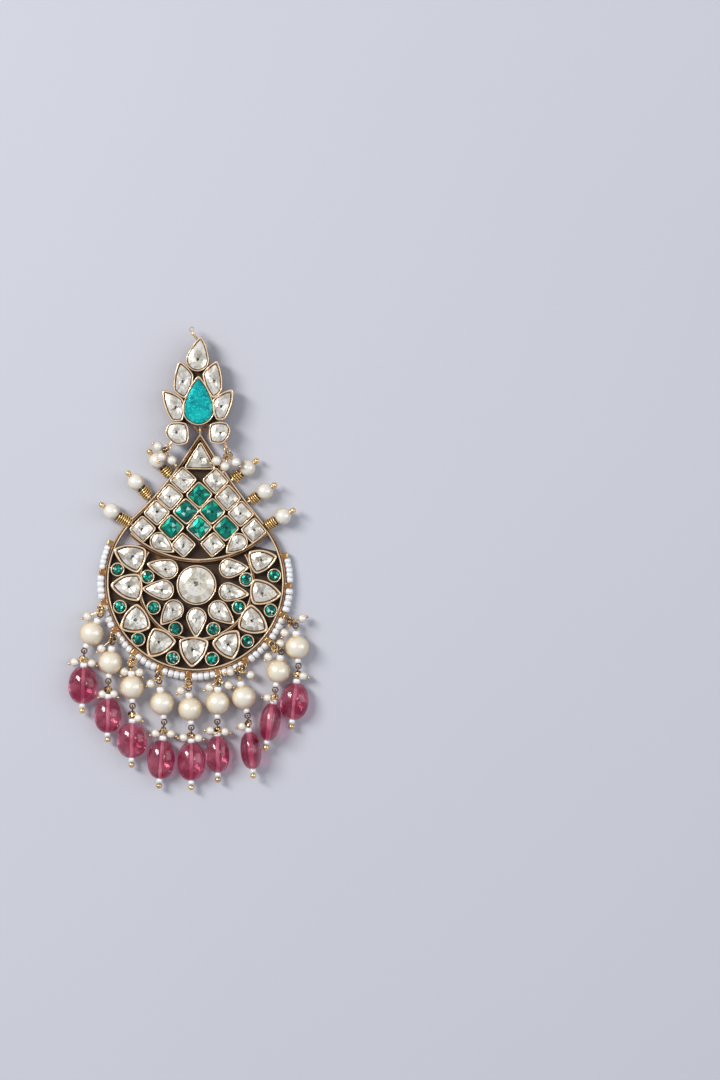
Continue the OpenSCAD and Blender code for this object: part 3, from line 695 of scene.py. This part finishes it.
border = {"radius": 23.4, "from": 155.5, "step": 18.4, "count": 13, "height": 1.5,
          "wire": 0.2, "peg": (1.7, 1.45, 1.65), "pegShift": 0.15, "pegTone": 0.62}
pegTurns = border["from"] + border["step"] * np.arange(border["count"])
pegPlaces = ringC + polar(border["radius"], pegTurns)
pegs = Heap()
for turn, peg in zip(pegTurns, pegPlaces):
    middle = raised(peg - polar(border["pegShift"], turn), border["height"] + border["pegShift"])
    block(pegs, middle, border["peg"], turn, border["pegTone"])
turn = np.linspace(0, border["step"] * (border["count"] - 1), 120) + border["from"]
tube(pegs, raised(ringC + polar(border["radius"], turn), border["height"]), border["wire"], 8)

# drops: pearl x, y and lean, bead x, y, width and height, bead on edge, neck
drops = [
    (-26.1, -12.1, 24, -28.3, -25.0, 7.4, 9.2, False, 2.2),
    (-21.5, -19.3, 6, -22.1, -32.5, 6.8, 8.6, False, 2.2),
    (-16.1, -25.5, -2, -16.1, -38.7, 7.6, 8.8, False, 2.6),
    (-8.6, -29.5, -7, -8.8, -43.5, 6.9, 9.7, False, 2.6),
    (-1.6, -30.9, -4, -1.3, -44.0, 7.0, 9.5, False, 2.2),
    (5.3, -29.4, 1, 5.3, -42.2, 6.0, 9.2, False, 1.7),
    (11.8, -28.0, -12, 13.6, -41.2, 7.2, 9.2, True, 3.2),
    (20.4, -21.5, 9, 18.4, -34.1, 7.2, 9.4, True, 1.9),
    (25.1, -15.5, -4, 24.4, -29.0, 7.2, 9.2, False, 2.4)]
# small pearls of each drop: x, y
upperCluster = [
    [(-27.2, -7.8)], [(-23.7, -15.8)], [(-18.0, -21.6), (-14.2, -21.8)], [(-11.4, -24.6)],
    [(-3.9, -26.3)], [(3.2, -25.5), (8.0, -25.0)], [(8.5, -21.6), (13.5, -22.4)],
    [(17.9, -17.9), (20.9, -14.6)], [(26.4, -8.3), (22.0, -11.9)]]
lowerCluster = [
    [(-30.4, -19.2), (-26.1, -19.5)], [(-23.4, -27.2), (-20.6, -27.2)], [(-14.6, -33.2)],
    [(-10.2, -37.0), (-6.4, -37.1)], [(-3.2, -38.0), (0.5, -38.2)], [(3.5, -36.3), (7.1, -36.6)],
    [(11.4, -35.2)], [(17.8, -28.1)], [(26.6, -22.7)]]
# radii, and distances along the pins: shank and knot from a loop, end ball from a bead
wires = {"pearl": 3.0, "pearlBore": 0.35, "beadThick": 5.3, "pin": 0.2, "shankWire": 0.17,
         "endWire": 0.18, "loop": 0.65, "pegRing": 0.73, "ringOff": 1.2, "ringHeight": 2.4,
         "reach": 1.65, "shank": 0.6, "knotOff": 1.5, "knot": 0.76, "knotLoops": 11,
         "linkUp": 0.1, "knotDown": 0.2, "endOff": 1.75, "ball": 0.78, "dull": 0.42}
# the wire wound round a pin's neck, if that is longer than free and least
winding = {"wire": 0.14, "radius": 0.36, "pitch": 0.28, "from": 0.95, "free": 1.5, "least": 0.4,
           "lowTurns": 3, "perTurn": 14, "sides": 6}


class Drop:
    # the places of one drop: its peg ring, link, pearl, lower loop, knot, bead and end ball
    def __init__(self, k, row):
        x, y, lean, beadX, beadY, self.width, self.height, self.onEdge, neck = row
        r = wires["pearl"]
        self.down = np.array([-math.sin(math.radians(lean)), -math.cos(math.radians(lean)), 0])
        self.pearl = np.array([x, y, r])
        self.topLoop = self.pearl - self.down * (r + neck)
        self.lowLoop = self.pearl + self.down * (r + wires["reach"])
        peg = raised(pegPlaces[k + 2], 0)
        way = unitOf((self.topLoop - peg)[:2])
        self.pegRing = raised(peg[:2] + wires["ringOff"] * way, wires["ringHeight"])
        beadZ = self.width / 2 if self.onEdge else wires["beadThick"] / 2
        self.bead = np.array([beadX, beadY, beadZ])
        self.way = raised(unitOf((self.bead - self.lowLoop)[:2]), 0)
        self.loop = self.lowLoop + wires["loop"] * self.way
        low = self.lowLoop + (wires["loop"] + wires["knotOff"]) * self.way
        self.knot = raised(low[:2], beadZ)
        self.linkRadius = np.linalg.norm(self.topLoop - self.pegRing) / 2
        self.link = (self.topLoop + self.pegRing) / 2
        self.linkTop = self.link + np.array([0, 0, self.linkRadius + wires["linkUp"]])
        self.end = self.bead + self.way * (self.height / 2 + wires["endOff"])


dropPlaces = [Drop(k, row) for k, row in enumerate(drops)]
for d in dropPlaces:
    ring(pegs, d.pegRing, wires["pegRing"], wires["pin"])

# side sticks: foot x, y on the frame, end ball x, y and height
sticks = [
    (-6.4, 27.0, -11.7, 33.3, 2.5), (-11.5, 21.5, -17.0, 27.9, 3.5),
    (-16.3, 15.2, -23.6, 20.0, 3.5), (8.7, 26.1, 15.0, 31.0, 2.5),
    (13.0, 20.8, 19.5, 24.9, 3.5), (17.0, 14.5, 24.1, 18.6, 3.5)]
# sunk, start and gap: rod into the frame, winding above the foot, pearl below its ball
stick = {"foot": 1.7, "pearl": 2.1, "bore": 0.52, "rod": 0.4, "coil": 1.45, "wire": 0.2,
         "shadeCore": 1.12, "shadeCoreTone": 0.05, "from": 0.65, "start": 0.8, "pitch": 0.56, "short": 0.5,
         "ball": 0.78, "sunk": 0.4, "gap": 0.05, "uneven": 0.07}
coils, sidePearls = Heap(), Heap()
for x, y, endX, endY, endZ in sticks:
    foot = np.array([x, y, stick["foot"]])
    end = np.array([endX, endY, endZ])
    way = unitOf(end - foot)
    rod(pegs, foot - stick["sunk"] * way, end, stick["rod"])
    ball(pegs, end, stick["ball"])
    centre = end - way * (stick["pearl"] + stick["ball"] + stick["gap"])
    ball(sidePearls, centre, stick["pearl"], way, 26, 36, "height", stick["bore"])
    room = np.linalg.norm(centre - foot) - stick["pearl"]
    turns = (room - stick["from"]) / stick["pitch"] - stick["short"]
    start = foot + way * stick["start"]
    # a dark rod that fills the winding: painted shade between its turns
    rod(coils, start, start + way * stick["pitch"] * turns, stick["shadeCore"], 24, stick["shadeCoreTone"])
    coil(coils, start, way, stick["coil"] - stick["wire"], stick["wire"], turns, stick["pitch"],
         26, 10, stick["uneven"])

# upright loops for the hidden link: centre, radius, wire and axis
tipLoops = {"drop": ((0.95, 38.6, 1.85), 0.9, 0.3, (1, 0, 0)),
            "stud": ((0.95, 41.8, 2.1), 1.0, 0.3, (1, 0, 0))}
ring(body, *tipLoops["drop"])
body.piece("goldFrame", gold, "antique_gold", ["body_frame"])
pegs.piece("pegsAndSticks", wireGold, "antique_gold", ["body_frame"])
coils.piece("stickCoils", coilGold, "antique_gold", ["side_coils"])
sidePearls.piece("stickPearls", whitePearl, "white_pearl", ["side_pearls"])
print("pegs, border wire and side sticks made")

# the stud

stud = {"back": 3.0, "deep": 2.8, "pocket": 0.8, "skirt": 1.5, "skirtFrom": 40.2}
# corners and bow
petals = [
    ([(-4.2, 56.0), (-5.6, 48.5), (-2.7, 46.4), (-0.6, 52.2)], 0.07),
    ([(5.3, 56.0), (1.5, 52.6), (4.1, 46.5), (6.4, 48.4)], 0.07),
    ([(-8.5, 48.7), (-6.2, 41.0), (-3.4, 41.0), (-3.2, 46.3)], 0.08),
    ([(9.3, 48.9), (4.1, 46.2), (5.0, 41.2), (7.3, 41.4)], 0.08),
    ([(-6.7, 40.2), (-7.7, 37.8), (-5.4, 35.0), (-2.1, 35.4), (-2.4, 40.3)], 0.1),
    ([(3.6, 40.2), (3.5, 35.6), (6.7, 35.3), (8.6, 38.4), (7.6, 40.4)], 0.1)]
topPear = (0.35, 56.1, 2.9, 1.3, 62.2)
tealPear = (0.6, 43.9, 4.1, 0.55, 52.5)
studPegs = [(-6.0, 35.6, -6.9, 34.5), (7.2, 35.6, 7.7, 33.6)]
studCluster = [[(-9.5, 34.5), (-8.6, 31.9), (-6.0, 31.1)],
               [(5.1, 31.0), (7.2, 29.6), (9.9, 30.6)]]
hang = {"height": 5.35, "peg": 0.4, "link": 0.66, "knot": 0.75, "knotLoops": 9, "pearl": 1.2}
chain = {"eye": (-1.15, 63.75), "ballAt": (-0.75, 62.7), "foot": (0.42, 60.95), "up": 0.9,
         "bore": 0.4, "band": 0.3, "high": 0.8, "ball": 0.62, "rod": 0.38}

studMetal = Heap()
studFloor, studTop = stud["back"] + stud["pocket"], stud["back"] + stud["deep"]
for shape, rows, n in ((petalLine, petals, 12), (pearLine, (topPear, tealPear), 36)):
    for s in rows:
        cup(studMetal, softLine(shape, s, n, 1), stud["back"], studFloor, studTop)
skirt = pearLine(tealPear, stud["skirt"], 30)
skirt[:, 1] = np.maximum(skirt[:, 1], stud["skirtFrom"])
plate(studMetal, skirt, stud["back"] + base["inset"], stud["back"] + base["high"])

# the eye is a rounded band turned about its bore
eyeZ = stud["back"] + chain["up"] + chain["high"] / 2
t = angles(12)
turnedForm(studMetal, raised(chain["eye"], eyeZ), (0, 0, 1),
           chain["bore"] + chain["band"] / 2 * (1 + np.cos(t)), chain["high"] / 2 * np.sin(t),
           28, 0.8)
ball(studMetal, raised(chain["ballAt"], eyeZ), chain["ball"])
rod(studMetal, raised(chain["ballAt"], eyeZ), raised(chain["foot"], eyeZ), chain["rod"])
ring(studMetal, *tipLoops["stud"])

clusterPearls, studLinks = Heap(), Heap()
small = {"pearl": 1.1, "bore": 0.26, "wire": 0.15, "tail": 0.2, "endOff": 0.32, "end": 0.368,
         "from": 0.3, "radius": 0.3, "pitch": 0.26, "free": 0.4, "least": 0.6, "most": 4,
         "uneven": 0.1}


def smallDrop(metal, start, centre, size=small["pearl"]):
    # a small pearl on its own wire from the knot, wound at its start, with a ball at its end
    way = unitOf(centre - start)
    ball(clusterPearls, centre, size, way, 18, 24, "height", small["bore"])
    rod(metal, start, centre + way * (size + small["tail"]), small["wire"], 8)
    ball(metal, centre + way * (size + small["endOff"]), small["end"])
    free = np.linalg.norm(centre - start) - size
    if free > small["least"]:
        turns = min(small["most"], (free - small["free"]) / small["pitch"])
        coil(metal, start + small["from"] * way, way, small["radius"], winding["wire"], turns,
             small["pitch"], winding["perTurn"], winding["sides"], small["uneven"])


for (x, y, ringX, ringY), cluster in zip(studPegs, studCluster):
    z, middle = hang["height"], np.array([ringX, ringY])
    way = unitOf(middle - (x, y))
    rod(studMetal, (x, y, z), raised(middle - wires["shank"] * way, z), hang["peg"])
    ring(studMetal, raised(middle, z), wires["loop"], wires["pin"])
    hook = raised(middle + 2 * hang["link"] * way, z)
    ring(studLinks, raised(middle + hang["link"] * way, z), hang["link"], wires["pin"],
         (-way[1], way[0], 0))
    knot(studLinks, hook, hang["knot"], hang["knotLoops"])
    for x, y in cluster:
        smallDrop(studLinks, hook, (x, y, z), hang["pearl"])
studMetal.piece("studSettings", gold, "antique_gold", ["stud_frame"])
studLinks.piece("studKnots", linkGold, "antique_gold", ["stud_links"])
print("stud made")

# stones: facets with a foil normal each

# culet off the middle, degrees of foil aside and of crown slopes, highest glints, then room
# below a stone and over its girdle, and crown and table
cut = {"off": 0.1, "aside": 25, "slope": (8, 30), "glint": 0.93, "crownGlint": 0.8,
       "seat": 0.1, "room": 0.5, "crown": 0.6, "table": 0.6}


class StoneHeap:
    # gathers cut stones: corners with a spot (place from the culet), faces with foil and glint
    def __init__(self):
        self.points, self.spots, self.faces, self.foils, self.glints = [], [], [], [], []
        self.count = 0

    def stone(self, line, low, girdle, crown, part, groups=7, tilt=(3, 16)):
        # low ring, girdle ring, table ring and a culet off the middle; every wedge of the table
        # takes the foil normal of its group, which leans towards the culet by a chance angle
        n = len(line)
        middle = line.mean(0)
        size = np.linalg.norm(line - middle, axis=1).mean()
        culet = middle + luck.uniform(-cut["off"], cut["off"], 2) * size
        table = middle + part * ((line + np.roll(line, -1, 0)) / 2 - middle)
        points = np.concatenate([raised(line, low), raised(line, low + girdle),
                                 raised(table, low + girdle + crown),
                                 raised(culet, low + girdle + crown)[None],
                                 raised(middle, low)[None]])
        i, j = np.arange(n), (np.arange(n) + 1) % n
        sideFaces = np.stack([i, j, n + j, n + i], 1)
        crownLow = np.stack([n + i, n + j, 2 * n + i], 1)
        crownHigh = np.stack([2 * n + i, n + j, 2 * n + j], 1)
        wedges = np.stack([2 * n + i, 2 * n + j, np.full(n, 3 * n)], 1)
        back = np.stack([j, i, np.full(n, 3 * n + 1)], 1)
        group = (i * groups // n + luck.integers(groups)) % groups
        lean = np.radians(luck.uniform(*tilt, groups))[group]
        aside = np.radians(luck.uniform(-cut["aside"], cut["aside"], groups))[group]
        away = (table + np.roll(table, -1, 0)) / 2 - culet
        angle = np.arctan2(away[:, 1], away[:, 0]) + aside
        wedgeFoil = unitOf(np.stack([-np.sin(lean) * np.cos(angle), -np.sin(lean) * np.sin(angle),
                                     np.cos(lean)], 1))
        slope = np.radians(luck.uniform(*cut["slope"], n))
        crownFoil = unitOf(np.stack([np.sin(slope) * np.cos(angle),
                                     np.sin(slope) * np.sin(angle), np.cos(slope)], 1))
        flatSide = np.concatenate([unitOf(line - middle), np.zeros((n, 1))], 1)
        down = np.tile([0, 0, -1.0], (n, 1))
        glint = luck.uniform(0, cut["glint"], groups)[group]
        self.foils += [flatSide, crownFoil, crownFoil, wedgeFoil, down]
        self.glints += [glint * 0, luck.uniform(0, 1, n), luck.uniform(0, cut["crownGlint"], n),
                        glint, glint * 0]
        for faces in (sideFaces, crownLow, crownHigh, wedges, back):
            self.faces += (faces + self.count).tolist()
        self.points.append(points)
        self.spots.append(raised((points[:, :2] - culet) / size, 0))
        self.count += len(points)

    def piece(self, name, material, slot, nodes):
        # a mesh with its spots, foil normals and glints
        mesh = bpy.data.meshes.new(name)
        mesh.from_pydata((np.concatenate(self.points) * mm).tolist(), [], self.faces)
        for layerName, kind, domain, key, values in (
                ("spot", "FLOAT_VECTOR", "POINT", "vector", self.spots),
                ("foil", "FLOAT_VECTOR", "FACE", "vector", self.foils),
                ("glint", "FLOAT", "FACE", "value", self.glints)):
            layer = mesh.attributes.new(layerName, kind, domain)
            layer.data.foreach_set(key, np.concatenate(values).astype(np.float32).ravel())
        place(mesh, name, material, nodes)


inset = -drop["wall"] - drop["gap"]


def stoneForm(floor, top):
    # a stone's heights between the floor and the top of its setting
    return {"low": floor + cut["seat"], "girdle": top - floor - cut["room"],
            "crown": cut["crown"], "part": cut["table"]}


lowStone = stoneForm(drop["floor"], drop["rim"])
studStone = stoneForm(studFloor, studTop)


def stones(name, material, slot, node, lines, form, **changes):
    # one piece with a stone for each outline
    heap = StoneHeap()
    for line in lines:
        heap.stone(line, **{**form, **changes})
    heap.piece(name, material, slot, [node])


for k, s in enumerate(fans):
    stones(f"fanStone{k + 1}", clearFoil, "clear_stone", f"fan_stone_{k + 1}",
           [fanLine(s, inset, 5)], lowStone)
# name, foil, slot, node, outline, settings and points
for name, foil, slot, node, shape, rows, n in (
        ("clearSquares", clearFoil, "clear_stone", "clear_squares", squareLine, clearSquares, 3),
        ("greenSquares", greenFoil, "green_stone", "green_squares", squareLine, greenSquares, 2),
        ("cornerPears", clearFoil, "clear_stone", "corner_pears", pearLine, cornerPears, 12),
        ("innerPears", clearFoil, "clear_stone", "inner_pears", pearLine, innerPears, 12),
        ("outerRounds", roundFoil, "green_stone", "outer_rounds", roundLine, outerRounds, 12),
        ("innerRounds", roundFoil, "green_stone", "inner_rounds", roundLine, innerRounds, 12)):
    stones(name, foil, slot, node, [shape(s, inset, n) for s in rows], lowStone)
stones("centreStone", centreFoil, "clear_stone", "centre_stone",
       [roundLine(centreRound, inset, 20)], lowStone, crown=0.8, part=0.62, tilt=(0, 7))
stones("triangleStone", clearFoil, "clear_stone", "triangle_stone",
       [triangleLine(triangle, inset, 4)], lowStone)
stones("tealStone", tealFoil, "teal_stone", "teal_stone", [pearLine(tealPear, inset, 20)],
       studStone, crown=0.5, part=0.78, groups=3, tilt=(0, 3))
stones("topStone", petalFoil, "clear_stone", "top_stone", [pearLine(topPear, inset, 12)],
       studStone)
sides = [(row, side) for row in ("upper", "middle", "lower") for side in ("left", "right")]
for s, (row, side) in zip(petals, sides):
    stones(f"{row}-{side}Petal", petalFoil, "clear_stone", f"{row}_{side}_stone",
           [petalLine(s, inset, 4)], studStone)
print("stones cut")

# pearls, beads, pins and links

beadForm = {"hole": 0.36, "power": 0.9, "boreEnd": 0.2, "lump": 0.012}


def neckCoil(heap, loop, way, axis, turns):
    # thin wire wound round a pin beside its loop
    coil(heap, loop + way * winding["from"], axis, winding["radius"], winding["wire"], turns,
         winding["pitch"], winding["perTurn"], winding["sides"])


def pinRing(heap, centre, axis=(0, 0, 1), radius=wires["loop"]):
    # a dull ring of pin wire
    ring(heap, centre, radius, wires["pin"], axis, tone=wires["dull"])


shank = wires["shank"]
pins, links, lowPins = Heap(), Heap(), Heap()
for k, d in enumerate(dropPlaces):
    pearl, bead = Heap(), Heap()
    ball(pearl, d.pearl, wires["pearl"], d.down, 40, 48, "height", wires["pearlBore"])
    pearl.piece(f"pearl{k + 1}", ivoryPearl, "ivory_pearl", [f"pearl_{k + 1}"])
    # oval bead: half the width times a sine to a power below 1, along the bead's own axis
    t = np.linspace(0, math.pi, 36)
    across = wires["beadThick"] if d.onEdge else d.width
    thick = d.width if d.onEdge else wires["beadThick"]
    hole, end = beadForm["hole"], d.height / 2 - beadForm["boreEnd"]
    r = np.append(hole + (across / 2 - hole) * np.sin(t) ** beadForm["power"], (hole, hole))
    h = np.append(-d.height / 2 * np.cos(t), (end, -end))
    tone = np.append(np.ones(len(t)), (0, 0))[:, None]
    turnedForm(bead, d.bead, d.way, r, h, 44, tone, thick / across, lump=beadForm["lump"])
    bead.piece(f"ovalBead{k + 1}", pinkBead, "pink_bead", [f"oval_bead_{k + 1}"])

    pinRing(pins, d.topLoop)
    pinRing(pins, d.lowLoop)
    rod(pins, d.topLoop + d.down * shank, d.lowLoop - d.down * shank, wires["shankWire"])
    neck = np.linalg.norm(d.topLoop - d.pearl) - wires["pearl"] - winding["free"]
    if neck > winding["least"]:
        neckCoil(pins, d.topLoop, d.down, d.down, neck / winding["pitch"])

    way = unitOf(d.topLoop - d.pegRing)
    pinRing(links, d.link, np.cross(way, (0, 0, 1)), d.linkRadius)
    knot(links, d.linkTop - (0, 0, wires["knotDown"]), wires["knot"], wires["knotLoops"])
    for x, y in upperCluster[k]:
        smallDrop(links, d.linkTop, (x, y, wires["pearl"]))

    pinRing(lowPins, d.loop, np.cross(d.way, (0, 0, 1)))
    rod(lowPins, d.loop + d.way * shank, d.knot, wires["shankWire"])
    neckCoil(lowPins, d.loop, d.way, d.knot - d.loop - d.way * shank, winding["lowTurns"])
    knot(lowPins, d.knot, wires["knot"], wires["knotLoops"])
    rod(lowPins, d.knot, d.end, wires["endWire"])
    ball(lowPins, d.end, wires["ball"], d.way, 16, 24)
    for x, y in lowerCluster[k]:
        smallDrop(lowPins, d.knot, (x, y, d.bead[2]))
pins.piece("upperPins", linkGold, "antique_gold", ["upper_pins"])
links.piece("dropLinks", linkGold, "antique_gold", ["drop_links"])
lowPins.piece("lowerPins", linkGold, "antique_gold", ["lower_pins"])
clusterPearls.piece("clusterPearls", whitePearl, "white_pearl", ["cluster_pearls"])
print("pearls, beads and wires made")

# seed beads: on the border wire, and one on each side of the pearls and the beads

seed = {"radius": 1.06, "long": 1.42, "hole": 0.3, "power": 0.88, "perGap": 4,
        "wideGaps": (0, 11), "pegGap": 0.05, "out": 0.1, "snug": 1.02}


def seedBead(heap, centre, axis, size):
    # a ring-shaped bead: its section is a rounded box between the bore and the outside
    t = angles(14)
    half = (seed["radius"] * size - seed["hole"]) / 2
    box = np.stack([np.cos(t), np.sin(t)])
    box = np.sign(box) * np.abs(box) ** seed["power"]
    turnedForm(heap, centre, axis, seed["hole"] + half + half * box[0],
               seed["long"] * size / 2 * box[1], 20, 1.0)


seeds = Heap()
for i in range(border["count"] - 1):
    count = seed["perGap"] + (i in seed["wideGaps"])
    half = math.degrees((border["peg"][1] / 2 + seed["pegGap"]) / border["radius"])
    span = border["step"] - 2 * half
    room = span * math.radians(border["radius"]) / count / seed["long"] * seed["snug"]
    for k in range(count):
        turn = pegTurns[i] + half + span * (k + 0.5) / count
        out = border["radius"] + seed["out"] + luck.uniform(-0.05, 0.08)
        lift = border["height"] + luck.uniform(-0.05, 0.05)
        axis = raised(polar(1.0, turn + 90 + luck.uniform(-7, 7)), luck.uniform(-0.08, 0.08))
        size = luck.uniform(0.95, 1.03) * min(1.0, room)
        seedBead(seeds, raised(ringC + polar(out, turn), lift), axis, size)
for d in dropPlaces:
    # middle, direction, distance along it and size
    for middle, way, off, size in ((d.pearl, d.down, wires["pearl"] + 0.4, 0.75),
                                   (d.pearl, d.down, -wires["pearl"] - 0.45, 0.92),
                                   (d.bead, d.way, -d.height / 2 - 0.45, 0.9),
                                   (d.bead, d.way, d.height / 2 + 0.45, 0.75)):
        seedBead(seeds, middle + way * off, way, size)
seeds.piece("seedBeads", seedWhite, "seed_bead")
print("seed beads strung")

for name in ("ear_clip", "link_ring"):
    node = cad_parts[name]
    node.data.materials.clear()
    node.data.materials.append(plainGold)

# floor, light and camera

studio = {"floorColour": (0.61, 0.62, 0.68), "floorShade": 0.97, "floorSide": 3.0,
          "floorZ": -0.00003, "camera": 1.3, "tall": 270.0, "middle": (40.8, 11.25),
          "target": (0.0, 0.005, 0.0), "sky": (0.80, 0.84, 0.95, 1), "world": 0.38}
# name, direction, distance, width and height in metres, power and colour
lamps = [("keyLight", (-0.56, 0.34, 0.76), 1.2, 0.3, 0.62, 10.8, (1.0, 0.98, 0.95)),
         ("sideLight", (0.78, 0.1, 0.62), 1.2, 0.6, 0.9, 3.0, (0.95, 0.97, 1.0)),
         ("nearLight", (0.3, 0.05, 0.95), 1.6, 0.2, 0.3, 1.2, (1.0, 1.0, 1.0))]
floorTree = Tree("paleFloor")
shade = tuple(c * studio["floorShade"] for c in studio["floorColour"])
floorPaint = floorTree.finish(
    Base_Color=floorTree.mix(floorTree.noise(9, 2), studio["floorColour"], shade),
    Roughness=0.75 + 0.1 * floorTree.noise(300, 2))
floorMesh = bpy.data.meshes.new("floor")
side, low = studio["floorSide"], studio["floorZ"]
floorMesh.from_pydata([(-side, -side, low), (side, -side, low), (side, side, low),
                       (-side, side, low)], [], [(0, 1, 2, 3)])
floorMesh.materials.append(floorPaint)
floor = linked("floor", floorMesh)

target = Vector(studio["target"])


def softbox(name, away, distance, width, height, power, colour):
    # a flat light that looks at the piece from the direction away
    light = bpy.data.lights.new(name, "AREA")
    light.shape, light.size, light.size_y = "RECTANGLE", width, height
    light.energy, light.color = power, colour
    lamp = linked(name, light)
    lamp.location = target + Vector(away).normalized() * distance
    lamp.rotation_euler = (target - lamp.location).to_track_quat("-Z", "Y").to_euler()


for lamp in lamps:
    softbox(*lamp)
world = bpy.data.worlds.new("studioWorld")
world.use_nodes = True
background = world.node_tree.nodes["Background"]
background.inputs[0].default_value = studio["sky"]
background.inputs[1].default_value = studio["world"]
bpy.context.scene.world = world

lens = bpy.data.cameras.new("camera")
lens.sensor_width = 36.0
lens.lens = lens.sensor_width * studio["camera"] / (studio["tall"] * mm)
lens.clip_start, lens.clip_end = 0.01, 20.0
camera = linked("camera", lens)
camera.location = (studio["middle"][0] * mm, studio["middle"][1] * mm, studio["camera"])
bpy.context.scene.camera = camera
bpy.context.scene.view_settings.view_transform = "Standard"
print("studio set")
